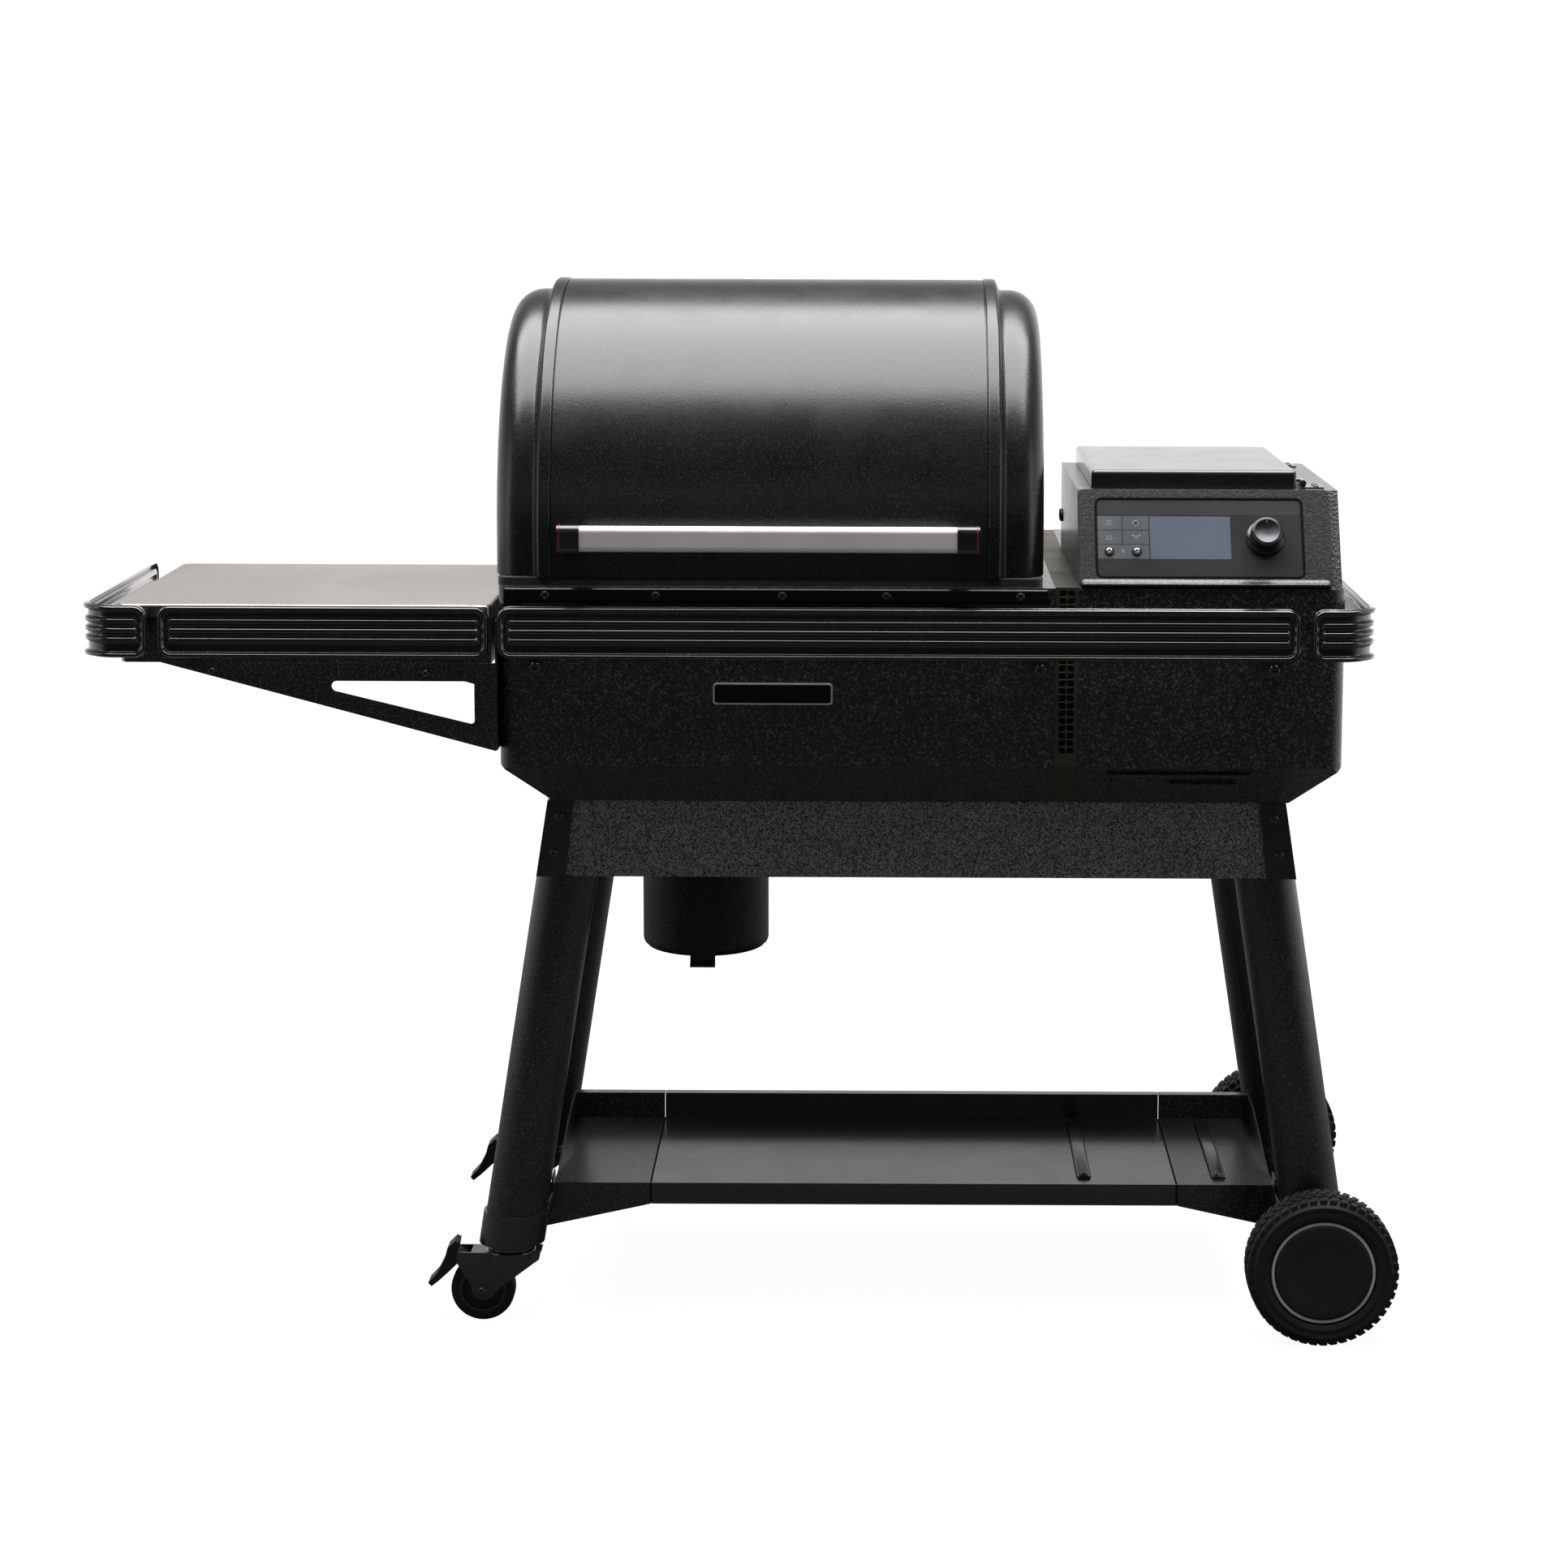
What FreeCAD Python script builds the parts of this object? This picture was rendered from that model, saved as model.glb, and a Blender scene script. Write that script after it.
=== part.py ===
"""Pellet smoker grill on a splayed-leg cart. Millimetres, +Z up, front towards -Y.

The working frame has X = 0 close to the middle of the overall width and Y = 0 midway between the front
and rear legs. FRAME_SHIFT moves every piece so the row's origin is the bottom centre of its box.
"""
import FreeCAD
import Part
import math
import os

V = FreeCAD.Vector
X, Y, Z = V(1, 0, 0), V(0, 1, 0), V(0, 0, 1)

# ---------------------------------------------------------------- driving dimensions
FRAME_SHIFT = V(-2, 16, 0)
SHEET = 2.0                                  # body and cart sheet thickness

# body: cooking chamber on the left, vent column, hopper housing on the right
BARREL_X = (-282.0, 344.0)
COLUMN_X = (344.0, 371.0)
HOPPER_X = (371.0, 671.5)
BODY_Y = (-301.0, 301.0)
RIM_Z, CHAMFER_Z, FLOOR_Z = 883.0, 679.0, 630.0
END_RUN = 1.13                               # the end skirts run a little further than they rise
CORNER_R = 20.0

# hood: straight skirt with a half-round top
HOOD_X = (-287.5, 333.0)
HOOD_CX = 0.5 * (HOOD_X[0] + HOOD_X[1])
HOOD_Y, HOOD_Z, HOOD_R = -11.0, 936.0, 280.0
HOOD_BOTTOM = 892.0
SEAM_HALF = 246.0                            # half length of the middle skin
BAND_RISE, STEP_DROP = 1.3, 12.0             # end cap band stands proud, its shoulder drops
SHOULDER_R = 34.0
HINGE_Y, HINGE_Z = 285.0, 890.0
HINGE_X = (-150.0, 198.0)

# handle
HANDLE_X = (-211.0, 258.0)
HANDLE_Y = (-345.0, -323.0)
HANDLE_Z = (925.0, 956.0)
CAP_LENGTH = 25.0

# hopper head, control panel and lid
HEAD_X = (371.0, 666.5)
HEAD_BACK, HEAD_TOP = 103.0, 988.0
PANEL_LOW, PANEL_HIGH = V(0, -301, 885), V(0, -241, 989)
LID_X, LID_Y, LID_Z = (388.0, 622.0), (-221.0, 99.0), (988.5, 1009.0)
LID_AXIS_X, LID_AXIS_Z = 630.0, 993.5
KNOB_X, KNOB_S = 581.5, 60.0

# pellet feed
FEED_Y, FEED_Z = -11.0, 712.0
POT_X, POT_Y, POT_R = -63.4, -11.0, 62.0

# accessory rails
RAIL_Z = (809.0, 864.5)
RAIL_FRONT_Y = -339.0
RAIL_DEPTH = 7.0
RAIL_BEND_R = 36.0

# side shelf
SHELF_X, SHELF_Y, SHELF_Z = (-708.0, -288.0), (-315.0, 65.0), 863.0

# cart
CART_X = 190.5
LEG_R, LEG_Y = 35.0, 208.0
LEG_HALF, LEG_REF_Z, LEG_SLOPE = 407.5, 517.0, 0.156
APRON_Z, APRON_Y = (540.0, 630.0), 246.0
APRON_HALF = (435.1, 421.1)

# wheels and casters
WHEEL_X, WHEEL_R, WHEEL_WIDTH, HUB_R = 662.0, 88.0, 50.0, 61.8
CASTER_X, CASTER_TRAIL, CASTER_R, CASTER_WIDTH = -284.0, 33.0, 37.5, 22.0

# bottom tray
TRAY_Y, TRAY_Z, TRAY_LIP = (-141.0, 140.0), 144.0, 176.0
TRAY_SEAM, TRAY_HALF = 314.5, 430.0

# grease keg
KEG_R, KEG_Z = 76.4, (406.0, 626.0)


# ---------------------------------------------------------------- helpers
def box(x, y, z):
    return Part.makeBox(x[1] - x[0], y[1] - y[0], z[1] - z[0], V(x[0], y[0], z[0]))


def cyl(base, axis, r, length):
    return Part.makeCylinder(r, length, base, axis)


def prism(points, direction):
    """Closed polygon of vectors swept along a direction vector."""
    return Part.Face(Part.makePolygon(points + points[:1])).extrude(direction)


def prism_x(yz, x):
    return prism([V(x[0], a, b) for a, b in yz], V(x[1] - x[0], 0, 0))


def prism_y(xz, y):
    return prism([V(a, y[0], b) for a, b in xz], V(0, y[1] - y[0], 0))


def edges_along(shape, axis, test=lambda p: True):
    """Straight edges parallel to an axis whose midpoint passes the test."""
    found = []
    for e in shape.Edges:
        a, b = e.Vertexes[0].Point, e.Vertexes[-1].Point
        d = b.sub(a)
        if d.Length > 1e-6 and abs(abs(d.dot(axis)) - d.Length) < 1e-6 and test((a + b) * 0.5):
            found.append(e)
    return found


def rounded(shape, axis, r, test=lambda p: True):
    return shape.makeFillet(r, edges_along(shape, axis, test))


def fuse(shapes):
    out = shapes[0]
    for s in shapes[1:]:
        out = out.fuse(s)
    return out.removeSplitter()


def cut(shape, tools):
    for t in tools:
        shape = shape.cut(t)
    return shape


def mirror_x(shape, x):
    return shape.mirror(V(x, 0, 0), X)


def mirror_y(shape):
    return shape.mirror(V(0, 0, 0), Y)


def save(node, *shapes):
    solids = [s for shape in shapes for s in shape.Solids]
    moved = [s.translated(FRAME_SHIFT) for s in solids]
    out = moved[0] if len(moved) == 1 else Part.makeCompound(moved)
    if not all(s.isValid() for s in moved):
        raise ValueError(node + " is not a valid solid")
    out.exportStep("parts/" + node + ".step")


os.makedirs("parts", exist_ok=True)


# ---------------------------------------------------------------- body shells
def skirt_yz(inset, top=RIM_Z, floor=FLOOR_Z):
    """Cross-section of the body, inset evenly from the outside."""
    y0, y1 = BODY_Y[0] + inset, BODY_Y[1] - inset
    knee = CHAMFER_Z + inset * (math.sqrt(2) - 1)
    run = knee - floor
    return [(y0, top), (y0, knee), (y0 + run, floor), (y1 - run, floor), (y1, knee), (y1, top)]


def skirt_block(x, side, inset, top=RIM_Z, floor=FLOOR_Z):
    """Solid body block with a skirt on one end too (side -1 left, +1 right)."""
    knee = CHAMFER_Z + inset * (math.sqrt(2) - 1)
    run = (knee - floor) * END_RUN
    x0, x1 = x
    if side < 0:
        xz = [(x0, top), (x0, knee), (x0 + run, floor), (x1, floor), (x1, top)]
    else:
        xz = [(x0, top), (x0, floor), (x1 - run, floor), (x1, knee), (x1, top)]
    y = (BODY_Y[0] + inset, BODY_Y[1] - inset)
    plan = box(x, y, (floor, top))
    end = x0 if side < 0 else x1
    plan = rounded(plan, Z, CORNER_R - inset, lambda p: abs(p.x - end) < 1e-6)
    return plan.common(prism_x(skirt_yz(inset, top, floor), x)).common(prism_y(xz, y))


feed_hole = cyl(V(330, FEED_Y, FEED_Z), X, 25.0, 60)
floor_hole = cyl(V(POT_X, POT_Y, FLOOR_Z - 5), Z, 46.0, 10)

barrel_outer = skirt_block(BARREL_X, -1, 0)
barrel_inner = skirt_block((BARREL_X[0] + SHEET, BARREL_X[1] - SHEET), -1, SHEET, RIM_Z + 1, FLOOR_Z + SHEET)
chamber_x, chamber_y = (-256.0, 300.0), (-270.0, 250.0)
rim_flange = barrel_outer.common(box(BARREL_X, BODY_Y, (RIM_Z - SHEET, RIM_Z)))
rim_flange = rim_flange.cut(box(chamber_x, chamber_y, (RIM_Z - 5, RIM_Z + 5)))
ledges = [box((-248.0, 298.0), y, (z, z + 3))
          for z in (786.0, 852.0) for y in ((-299.5, -257.0), (237.0, 299.5))]
exhaust_slot = box((-100, 150), (295, 305), (822, 846))
body_shell = fuse([barrel_outer.cut(barrel_inner), rim_flange] + ledges)
body_shell = cut(body_shell, [feed_hole, floor_hole, exhaust_slot])
save("body_shell", body_shell)

exhaust = box((-120, 170), (301, 313), (780, 862))
exhaust = rounded(exhaust, X, 5, lambda p: p.y > 312)
exhaust = exhaust.cut(box((-118, 168), (300, 311), (779, 860)))
save("exhaust_duct", exhaust)

# vent column: a narrow ring one millimetre below the body skin, with groups of four square holes
column = prism_x(skirt_yz(1.0, RIM_Z - 0.5), COLUMN_X)
column = column.cut(prism_x(skirt_yz(3.0, RIM_Z - 2.5, FLOOR_Z + SHEET), (COLUMN_X[0] - 1, COLUMN_X[1] + 1)))
petal = 4.5
for row in range(11):
    for dx in (-petal, petal):
        for dz in (-petal, petal):
            vx, vz = 358.5 + dx, 703 + 17.0 * row + dz
            hole = box((vx - 3.3, vx + 3.3), (-310, -290), (vz - 3.3, vz + 3.3))
            column = column.cut(rounded(hole, Y, 2.3))
save("vent_column", column)

# hopper housing: lower box plus the sloped head that carries the control panel
slope = PANEL_HIGH - PANEL_LOW
slope_len = slope.Length
along = slope * (1.0 / slope_len)
normal = V(0, -along.z, along.y)
PANEL_T = 5.0


def panel_point(x, s, out):
    """Point on the control panel: x across, s up the slope, out along the outward normal."""
    return V(x, PANEL_LOW.y, PANEL_LOW.z) + along * s + normal * out


def panel_block(x, s, out, r=0.0):
    base = panel_point(x[0], s[0], out[0])
    pts = [base, base + V(x[1] - x[0], 0, 0), base + V(x[1] - x[0], 0, 0) + along * (s[1] - s[0]),
           base + along * (s[1] - s[0])]
    solid = prism(pts, normal * (out[1] - out[0]))
    return rounded(solid, normal, r) if r else solid


def head_yz(inset, top):
    shift = -(PANEL_T + inset) / abs(normal.y)
    y_low = PANEL_LOW.y - shift
    y_high = PANEL_HIGH.y - shift
    low, back = RIM_Z - 2.0 * inset, HEAD_BACK - inset
    return [(y_low, low), (y_high, top), (back, top), (back, low)]


hopper_low = skirt_block(HOPPER_X, 1, 0)
head = prism_x(head_yz(0, HEAD_TOP), HEAD_X)
head = rounded(head, Z, 12, lambda p: p.x > 660 and p.y > 0)
hopper_in = skirt_block((HOPPER_X[0] + SHEET, HOPPER_X[1] - SHEET), 1, SHEET, RIM_Z - SHEET, FLOOR_Z + SHEET)
head_in = prism_x(head_yz(SHEET, HEAD_TOP - SHEET), (HEAD_X[0] + SHEET, HEAD_X[1] - SHEET))
hopper_shell = hopper_low.fuse(head).cut(hopper_in.fuse(head_in))
bin_hole = box((392, 616), (-205, 85), (HEAD_TOP - 5, HEAD_TOP + 5))
dump_hole = box((412, 561), (-296, -258), (640, 676))
door_frame = hopper_shell.cut(bin_hole).cut(feed_hole)
hopper_shell = door_frame.cut(dump_hole.common(prism_x(
    [(-310, 672), (-292, 672), (-262, 642), (-310, 642)], (412, 561))))
inlet = box((600, 640), (BODY_Y[1] - 1, BODY_Y[1] + 5), (700, 728))
inlet = inlet.cut(box((606, 634), (BODY_Y[1] + 1, BODY_Y[1] + 6), (705, 723)))
hopper_shell = hopper_shell.fuse(inlet)

bezel = panel_block((371.5, 655), (1.0, slope_len), (-PANEL_T, 0), 6.0)
glass_x, glass_s = (390.0, 625.0), (11.0, 110.0)
bezel = bezel.cut(panel_block(glass_x, glass_s, (-3, 1), 8.0))
knob_base = panel_point(KNOB_X, KNOB_S, 0)
shaft = cyl(panel_point(KNOB_X, KNOB_S, -3.0), normal, 3.0, 15.0)
save("control_bezel", bezel.fuse(shaft))
glass = panel_block((glass_x[0] + 0.2, glass_x[1] - 0.2), (glass_s[0] + 0.2, glass_s[1] - 0.2),
                    (-2.8, -0.8), 7.8)
glass = glass.cut(cyl(panel_point(KNOB_X, KNOB_S, -4), normal, 4.0, 6))
jacks = [cyl(panel_point(x, 44.0, -0.8), normal, 5.5, 1.6).cut(cyl(panel_point(x, 44.0, -0.4), normal,
                                                                   2.2, 3))
         for x in (405.5, 436.5)]
save("control_glass", fuse([glass] + jacks))

knob = cyl(panel_point(KNOB_X, KNOB_S, 0.0), normal, 21.5, 6.0)
grip = cyl(panel_point(KNOB_X, KNOB_S, 5.0), normal, 18.0, 17.0)
grip = grip.makeFillet(2.0, [e for e in grip.Edges if isinstance(e.Curve, Part.Circle)
                             and (e.Curve.Center - knob_base).dot(normal) > 20])
knob = knob.fuse(grip).cut(cyl(panel_point(KNOB_X, KNOB_S, -1), normal, 3.05, 14.0))
save("control_knob", knob)

# pellet bin inside the head, and the finger guard across its mouth
bin_out = [(-207, 986), (-207, 850), (-30, 738), (8, 738), (87, 850), (87, 986)]
bin_in = [(-205.5, 990), (-205.5, 850.8), (-29, 736), (7, 736), (85.5, 850.6), (85.5, 990)]
hopper_bin = prism_x(bin_out, (392, 616)).cut(prism_x(bin_in, (393.5, 614.5)))
save("hopper_bin", hopper_bin)
guard = [box((394, 614), (y, y + 2), (966, 974)) for y in range(-175, 80, 32)]
guard += [box((x, x + 2), (-205, 85), (968, 972)) for x in (440, 503, 566)]
save("hopper_grille", fuse(guard))

# auger tube, auger, gear motor, blower
tube = cyl(V(1.5, FEED_Y, FEED_Z), X, 24.0, 594).cut(cyl(V(0, FEED_Y, FEED_Z), X, 22.0, 600))
tube = tube.cut(box((420, 590), (FEED_Y - 15, FEED_Y + 15), (FEED_Z + 5, FEED_Z + 30)))
save("auger_tube", tube)
flights = []
pitch = 36.0
core = cyl(V(6, FEED_Y, FEED_Z), X, 7.0, 591)
for k in range(16):
    x = 16 + pitch * k
    disc = cyl(V(x, FEED_Y, FEED_Z), X, 30.0, 2.5)
    disc.rotate(V(x, FEED_Y, FEED_Z), Z, 20)
    flights.append(disc.common(cyl(V(0, FEED_Y, FEED_Z), X, 20.5, 620)))
save("auger", fuse([core] + flights))
gearbox = box((600, 622), (FEED_Y - 32, FEED_Y + 32), (FEED_Z - 24, FEED_Z + 24))
motor = cyl(V(622, FEED_Y, FEED_Z), X, 24.0, 40)
save("auger_motor", gearbox.fuse(motor))
fan_c = V(560, 190, 760)
housing = cyl(fan_c, X, 62.0, 60).fuse(box((560, 620), (190, 262), (760, 822)))
housing = housing.cut(cyl(fan_c + V(2, 0, 0), X, 58.0, 56)).cut(box((562, 618), (192, 263), (764, 818)))
housing = housing.cut(cyl(fan_c - V(1, 0, 0), X, 26.0, 10))
save("blower_housing", housing)
blades = [cyl(fan_c + V(6, 0, 0), X, 9.0, 46), cyl(fan_c + V(48, 0, 0), X, 50.0, 2)]
for k in range(12):
    blade = box((566, 608), (fan_c.y - 0.8, fan_c.y + 0.8), (fan_c.z + 32, fan_c.z + 49.5))
    blade.rotate(fan_c, X, 30 * k)
    blades.append(blade)
save("blower_fan", fuse(blades))

# fire pot, heat baffle, drip tray, grates
pot = cyl(V(POT_X, POT_Y, 652), Z, POT_R, 88).cut(cyl(V(POT_X, POT_Y, 655), Z, POT_R - 2.5, 90))
pot = pot.cut(cyl(V(POT_X + 40, POT_Y, FEED_Z), X, 20.0, 30)).cut(cyl(V(POT_X, POT_Y, 645), Z, 30.0, 20))
save("fire_pot", pot)
baffle = box((-210, 190), (-170, 150), (748, 763)).cut(box((-208, 188), (-168, 148), (747, 761)))
stands = [box((x, x + 8), (y, y + 8), (FLOOR_Z + SHEET, 749)) for x in (-210, 182) for y in (-170, 142)]
save("heat_baffle", fuse([baffle] + stands))
tray = box((-250, 294), (-264, 244), (789.3, 804)).cut(box((-248.5, 292.5), (-262.5, 242.5), (791, 806)))
save("drip_tray", tray)
grate_x, grate_y, grate_z = (-250.0, 294.0), (-264.0, 244.0), 859.5
frame = box(grate_x, grate_y, (855.3, 863.3)).cut(
    box((grate_x[0] + 8, grate_x[1] - 8), (grate_y[0] + 8, grate_y[1] - 8), (850, 870)))
bars = [cyl(V(x, grate_y[0] + 7, grate_z), Y, 3.0, grate_y[1] - grate_y[0] - 14)
        for x in [grate_x[0] + 20 + 18 * k for k in range(29)]]
cross = [box((grate_x[0] + 7, grate_x[1] - 7), (y - 3, y + 3), (855.3, 858)) for y in (-140, -10, 120)]
save("main_grate", fuse([frame] + bars + cross))
rack_x, rack_y = (-262.0, 310.0), (20.0, 225.0)
rack = [box(rack_x, (y, y + 5), (1006, 1011)) for y in (rack_y[0], rack_y[1] - 5)]
rack += [cyl(V(x, rack_y[0] + 2, 1008.5), Y, 2.2, rack_y[1] - rack_y[0] - 4)
         for x in [rack_x[0] + 14 + 17 * k for k in range(33)]]
rack += [box((x, x + 4), rack_y, (1004, 1011)) for x in (rack_x[0], rack_x[1] - 4)]
rack += [box((x, x + 4), (y, y + 5), (RIM_Z, 1006)) for x in (-262, 320) for y in (rack_y[0], rack_y[1] - 5)]
rack += [box((306, 324), (y, y + 5), (1006, 1011)) for y in (rack_y[0], rack_y[1] - 5)]
save("upper_rack", fuse(rack))

# ---------------------------------------------------------------- hood
hood_mid = (HOOD_CX - SEAM_HALF, HOOD_CX + SEAM_HALF)


def dome(x, off, low=HOOD_BOTTOM):
    """Solid under the hood outline, offset outwards by off, between two X planes."""
    r = HOOD_R + off
    a, b = V(x[0], HOOD_Y - r, low), V(x[0], HOOD_Y - r, HOOD_Z)
    c, d = V(x[0], HOOD_Y + r, HOOD_Z), V(x[0], HOOD_Y + r, low)
    arc = Part.Arc(b, V(x[0], HOOD_Y, HOOD_Z + r), c).toShape()
    wire = Part.Wire([Part.makeLine(a, b), arc, Part.makeLine(c, d), Part.makeLine(d, a)])
    return Part.Face(wire).extrude(V(x[1] - x[0], 0, 0))


def shoulder(shape, x, r):
    """Round the outline edges that lie in the plane at x, except the bottom one."""
    picked = [e for e in shape.Edges if all(abs(v.Point.x - x) < 1e-6 for v in e.Vertexes)
              and not all(abs(v.Point.z - HOOD_BOTTOM) < 1.5 for v in e.Vertexes)]
    return shape.makeFillet(r, picked)


save("hood_skin", dome(hood_mid, 0).cut(dome((hood_mid[0] - 1, hood_mid[1] + 1), -2, HOOD_BOTTOM - 1)))

band_x, step_x = hood_mid[0] - 16, hood_mid[0] - 24
cap = shoulder(dome((HOOD_X[0], band_x + 1), -STEP_DROP), HOOD_X[0], SHOULDER_R)
band = shoulder(dome((band_x, hood_mid[0]), BAND_RISE), band_x, 6.0)
cavity = shoulder(dome((HOOD_X[0] + 2, band_x + 3), -STEP_DROP - 2), HOOD_X[0] + 2, SHOULDER_R - 2)
hood_end = cut(cap.fuse(band), [cavity, dome((band_x + 2, hood_mid[0] + 1), -2, HOOD_BOTTOM - 1)])
hood_end = hood_end.removeSplitter()
save("hood_end_left", hood_end)
save("hood_end_right", mirror_x(hood_end, HOOD_CX))

gasket = box((-283.0, 331.0), (-290.0, 268.0), (RIM_Z, HOOD_BOTTOM - 0.3))
gasket = rounded(gasket, Z, 12).cut(rounded(box((-270.0, 318.0), (-279.0, 257.0),
                                                (RIM_Z - 1, HOOD_BOTTOM)), Z, 8))
posts = [box((x - 0.5, x + 4.5), (y - 0.5, y + 5.5), (RIM_Z - 1, HOOD_BOTTOM)) for x in (-262,
                                                                                         320) for y in (20, 220)]
save("hood_gasket", cut(gasket, posts))

bar_y, bar_z = HANDLE_Y, (HANDLE_Z[0] + 1.5, HANDLE_Z[1] - 1.5)
bar = rounded(box((HANDLE_X[0] + CAP_LENGTH - 3, HANDLE_X[1] - CAP_LENGTH + 3),
                  (bar_y[0] + 1, bar_y[1]), bar_z), X, 6)
save("handle_bar", bar)
mounts = []
for side in (0, 1):
    x0 = HANDLE_X[0] if side == 0 else HANDLE_X[1] - CAP_LENGTH
    end = rounded(box((x0, x0 + CAP_LENGTH), HANDLE_Y, HANDLE_Z), X, 7)
    arm = box((x0 + 1, x0 + CAP_LENGTH - 1), (HANDLE_Y[1] - 8, HOOD_Y - HOOD_R - 0.2),
              (HANDLE_Z[0] + 6, HANDLE_Z[1] - 6))
    mounts.append(end.fuse(arm).cut(bar).removeSplitter())
save("handle_mounts", *mounts)

leaves, bases = [], []
for x in HINGE_X:
    axis = V(x, HINGE_Y, HINGE_Z)
    pin = cyl(axis - V(26, 0, 0), X, 2.5, 52)
    middle = cyl(axis - V(12, 0, 0), X, 5.0, 24)
    web = box((x - 12, x + 12), (HOOD_Y + HOOD_R + 0.1, HINGE_Y), (HINGE_Z + 2, HINGE_Z + 5))
    plate = box((x - 30, x + 30), (HOOD_Y + HOOD_R + 0.1, HOOD_Y + HOOD_R + 2.1),
                (HINGE_Z + 5.5, HINGE_Z + 36))
    neck = box((x - 12, x + 12), (HOOD_Y + HOOD_R + 0.1, HOOD_Y + HOOD_R + 2.1), (HINGE_Z + 2, HINGE_Z + 6))
    leaves.append(fuse([pin, middle, web, plate, neck]))
    foot = box((x - 30, x + 30), (HINGE_Y - 7, HINGE_Y + 14), (RIM_Z, RIM_Z + 1.8))
    outer = [cyl(axis + V(s, 0, 0), X, 5.0, 12) for s in (-24.5, 12.5)]
    base = fuse([foot] + outer)
    bases.append(base.cut(cyl(axis - V(40, 0, 0), X, 2.56, 80)).cut(cyl(axis - V(12.4, 0, 0), X, 5.6, 24.8)))
save("hood_hinge_leaves", *leaves)
save("hood_hinge_bases", *bases)

# ---------------------------------------------------------------- hopper lid and its hinges
lid = box(LID_X, LID_Y, LID_Z)
lid = lid.makeFillet(5.0,
                     edges_along(lid,
                                 Z) + [e for e in lid.Edges if all(v.Point.z > LID_Z[1] - 1 for v in e.Vertexes)])
lid = lid.cut(rounded(box((LID_X[0] + 2, LID_X[1] - 2), (LID_Y[0] + 2, LID_Y[1] - 2),
                          (LID_Z[0] - 1, LID_Z[1] - 2)), Z, 3))
lid_parts, lid_bases = [lid], []
for y in (-195.0, 70.0):
    axis = V(LID_AXIS_X, y, LID_AXIS_Z)
    lid_parts.append(cyl(axis - V(0, 19, 0), Y, 2.0, 38))
    lid_parts.append(cyl(axis - V(0, 8, 0), Y, 4.0, 16))
    lid_parts.append(box((LID_X[1] - 1, LID_AXIS_X), (y - 8, y + 8), (LID_AXIS_Z + 1.5, LID_AXIS_Z + 4)))
    plate = box((LID_AXIS_X - 4, LID_AXIS_X + 24), (y - 19, y + 19), (HEAD_TOP, HEAD_TOP + 1.5))
    knuckles = [cyl(axis + V(0, s, 0), Y, 4.0, 9) for s in (-17.5, 8.5)]
    webs = [box((LID_AXIS_X - 3, LID_AXIS_X + 3), (y + s, y + s + 9),
                (HEAD_TOP, LID_AXIS_Z)) for s in (-17.5, 8.5)]
    base = fuse([plate] + knuckles + webs).cut(cyl(axis - V(0, 30, 0), Y, 2.06, 60))
    lid_bases.append(base.cut(cyl(axis - V(0, 8.4, 0), Y, 4.8, 16.8)))
save("hopper_lid", fuse(lid_parts))
save("lid_hinge_bases", *lid_bases)

# pellet clean-out flap on the hopper's front skirt
down = V(0, 1, -1) * (1 / math.sqrt(2))
outward = V(0, -1, -1) * (1 / math.sqrt(2))
knee = V(0, BODY_Y[0], CHAMFER_Z)


def skirt_block_at(x, s, out):
    p = knee + V(x[0], 0, 0) + down * s[0] + outward * out[0]
    w = V(x[1] - x[0], 0, 0)
    return prism([p, p + w, p + w + down * (s[1] - s[0]), p + down * (s[1] - s[0])],
                 outward * (out[1] - out[0]))


hinge = knee + down * 11.5 + outward * 2.7
flap = skirt_block_at((406, 567), (13, 60), (0.5, 3.0))
pull = skirt_block_at((474, 555), (23, 38), (2.9, 6.2))
door = fuse([flap, pull]).cut(cyl(hinge + V(405, 0, 0), X, 2.9, 7.2)).cut(cyl(hinge + V(560.8, 0, 0), X,
                                                                              2.9, 7.2))
save("cleanout_door", fuse([door, cyl(hinge + V(412.2, 0, 0), X, 2.4, 148.6),
                            cyl(hinge + V(404, 0, 0), X, 1.2, 165)]))
for x in (405.5, 561.2):
    knuckle = cyl(hinge + V(x, 0, 0), X, 2.4, 6.3).fuse(skirt_block_at((x, x + 6.3), (9.9, 12.3),
                                                                       (-0.5, 1.4)))
    hopper_shell = hopper_shell.fuse(knuckle.cut(cyl(hinge + V(x - 1, 0, 0), X, 1.26, 9)))
save("hopper_shell", hopper_shell.removeSplitter())


# ---------------------------------------------------------------- accessory rails
def rail_section():
    """Outline of the rail strip as (outward offset, height)."""
    lo, hi = RAIL_Z
    pts = [(0, lo), (RAIL_DEPTH - 2, lo), (RAIL_DEPTH, lo + 2), (RAIL_DEPTH, lo + 5),
           (RAIL_DEPTH - 2, lo + 7.5), (2.5, lo + 7.5)]
    for c in (826.5, 836.75, 847.0):
        pts += [(2.5, c - 3.8), (5.6, c - 2), (5.6, c + 2), (2.5, c + 3.8)]
    pts += [(2.5, hi - 7.5), (RAIL_DEPTH - 2, hi - 7.5), (RAIL_DEPTH, hi - 5), (RAIL_DEPTH, hi - 2),
            (RAIL_DEPTH - 2, hi), (0, hi)]
    return pts


back_y = RAIL_FRONT_Y + RAIL_DEPTH


def straight_rail(x):
    strip = prism([V(x[0], back_y - o, z) for o, z in rail_section()], V(x[1] - x[0], 0, 0))
    ends = [box((a, a + 7), (RAIL_FRONT_Y, back_y), RAIL_Z) for a in (x[0], x[1] - 7)]
    ends = [rounded(e, Y, 3) for e in ends]
    return fuse([strip] + ends)


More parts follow.
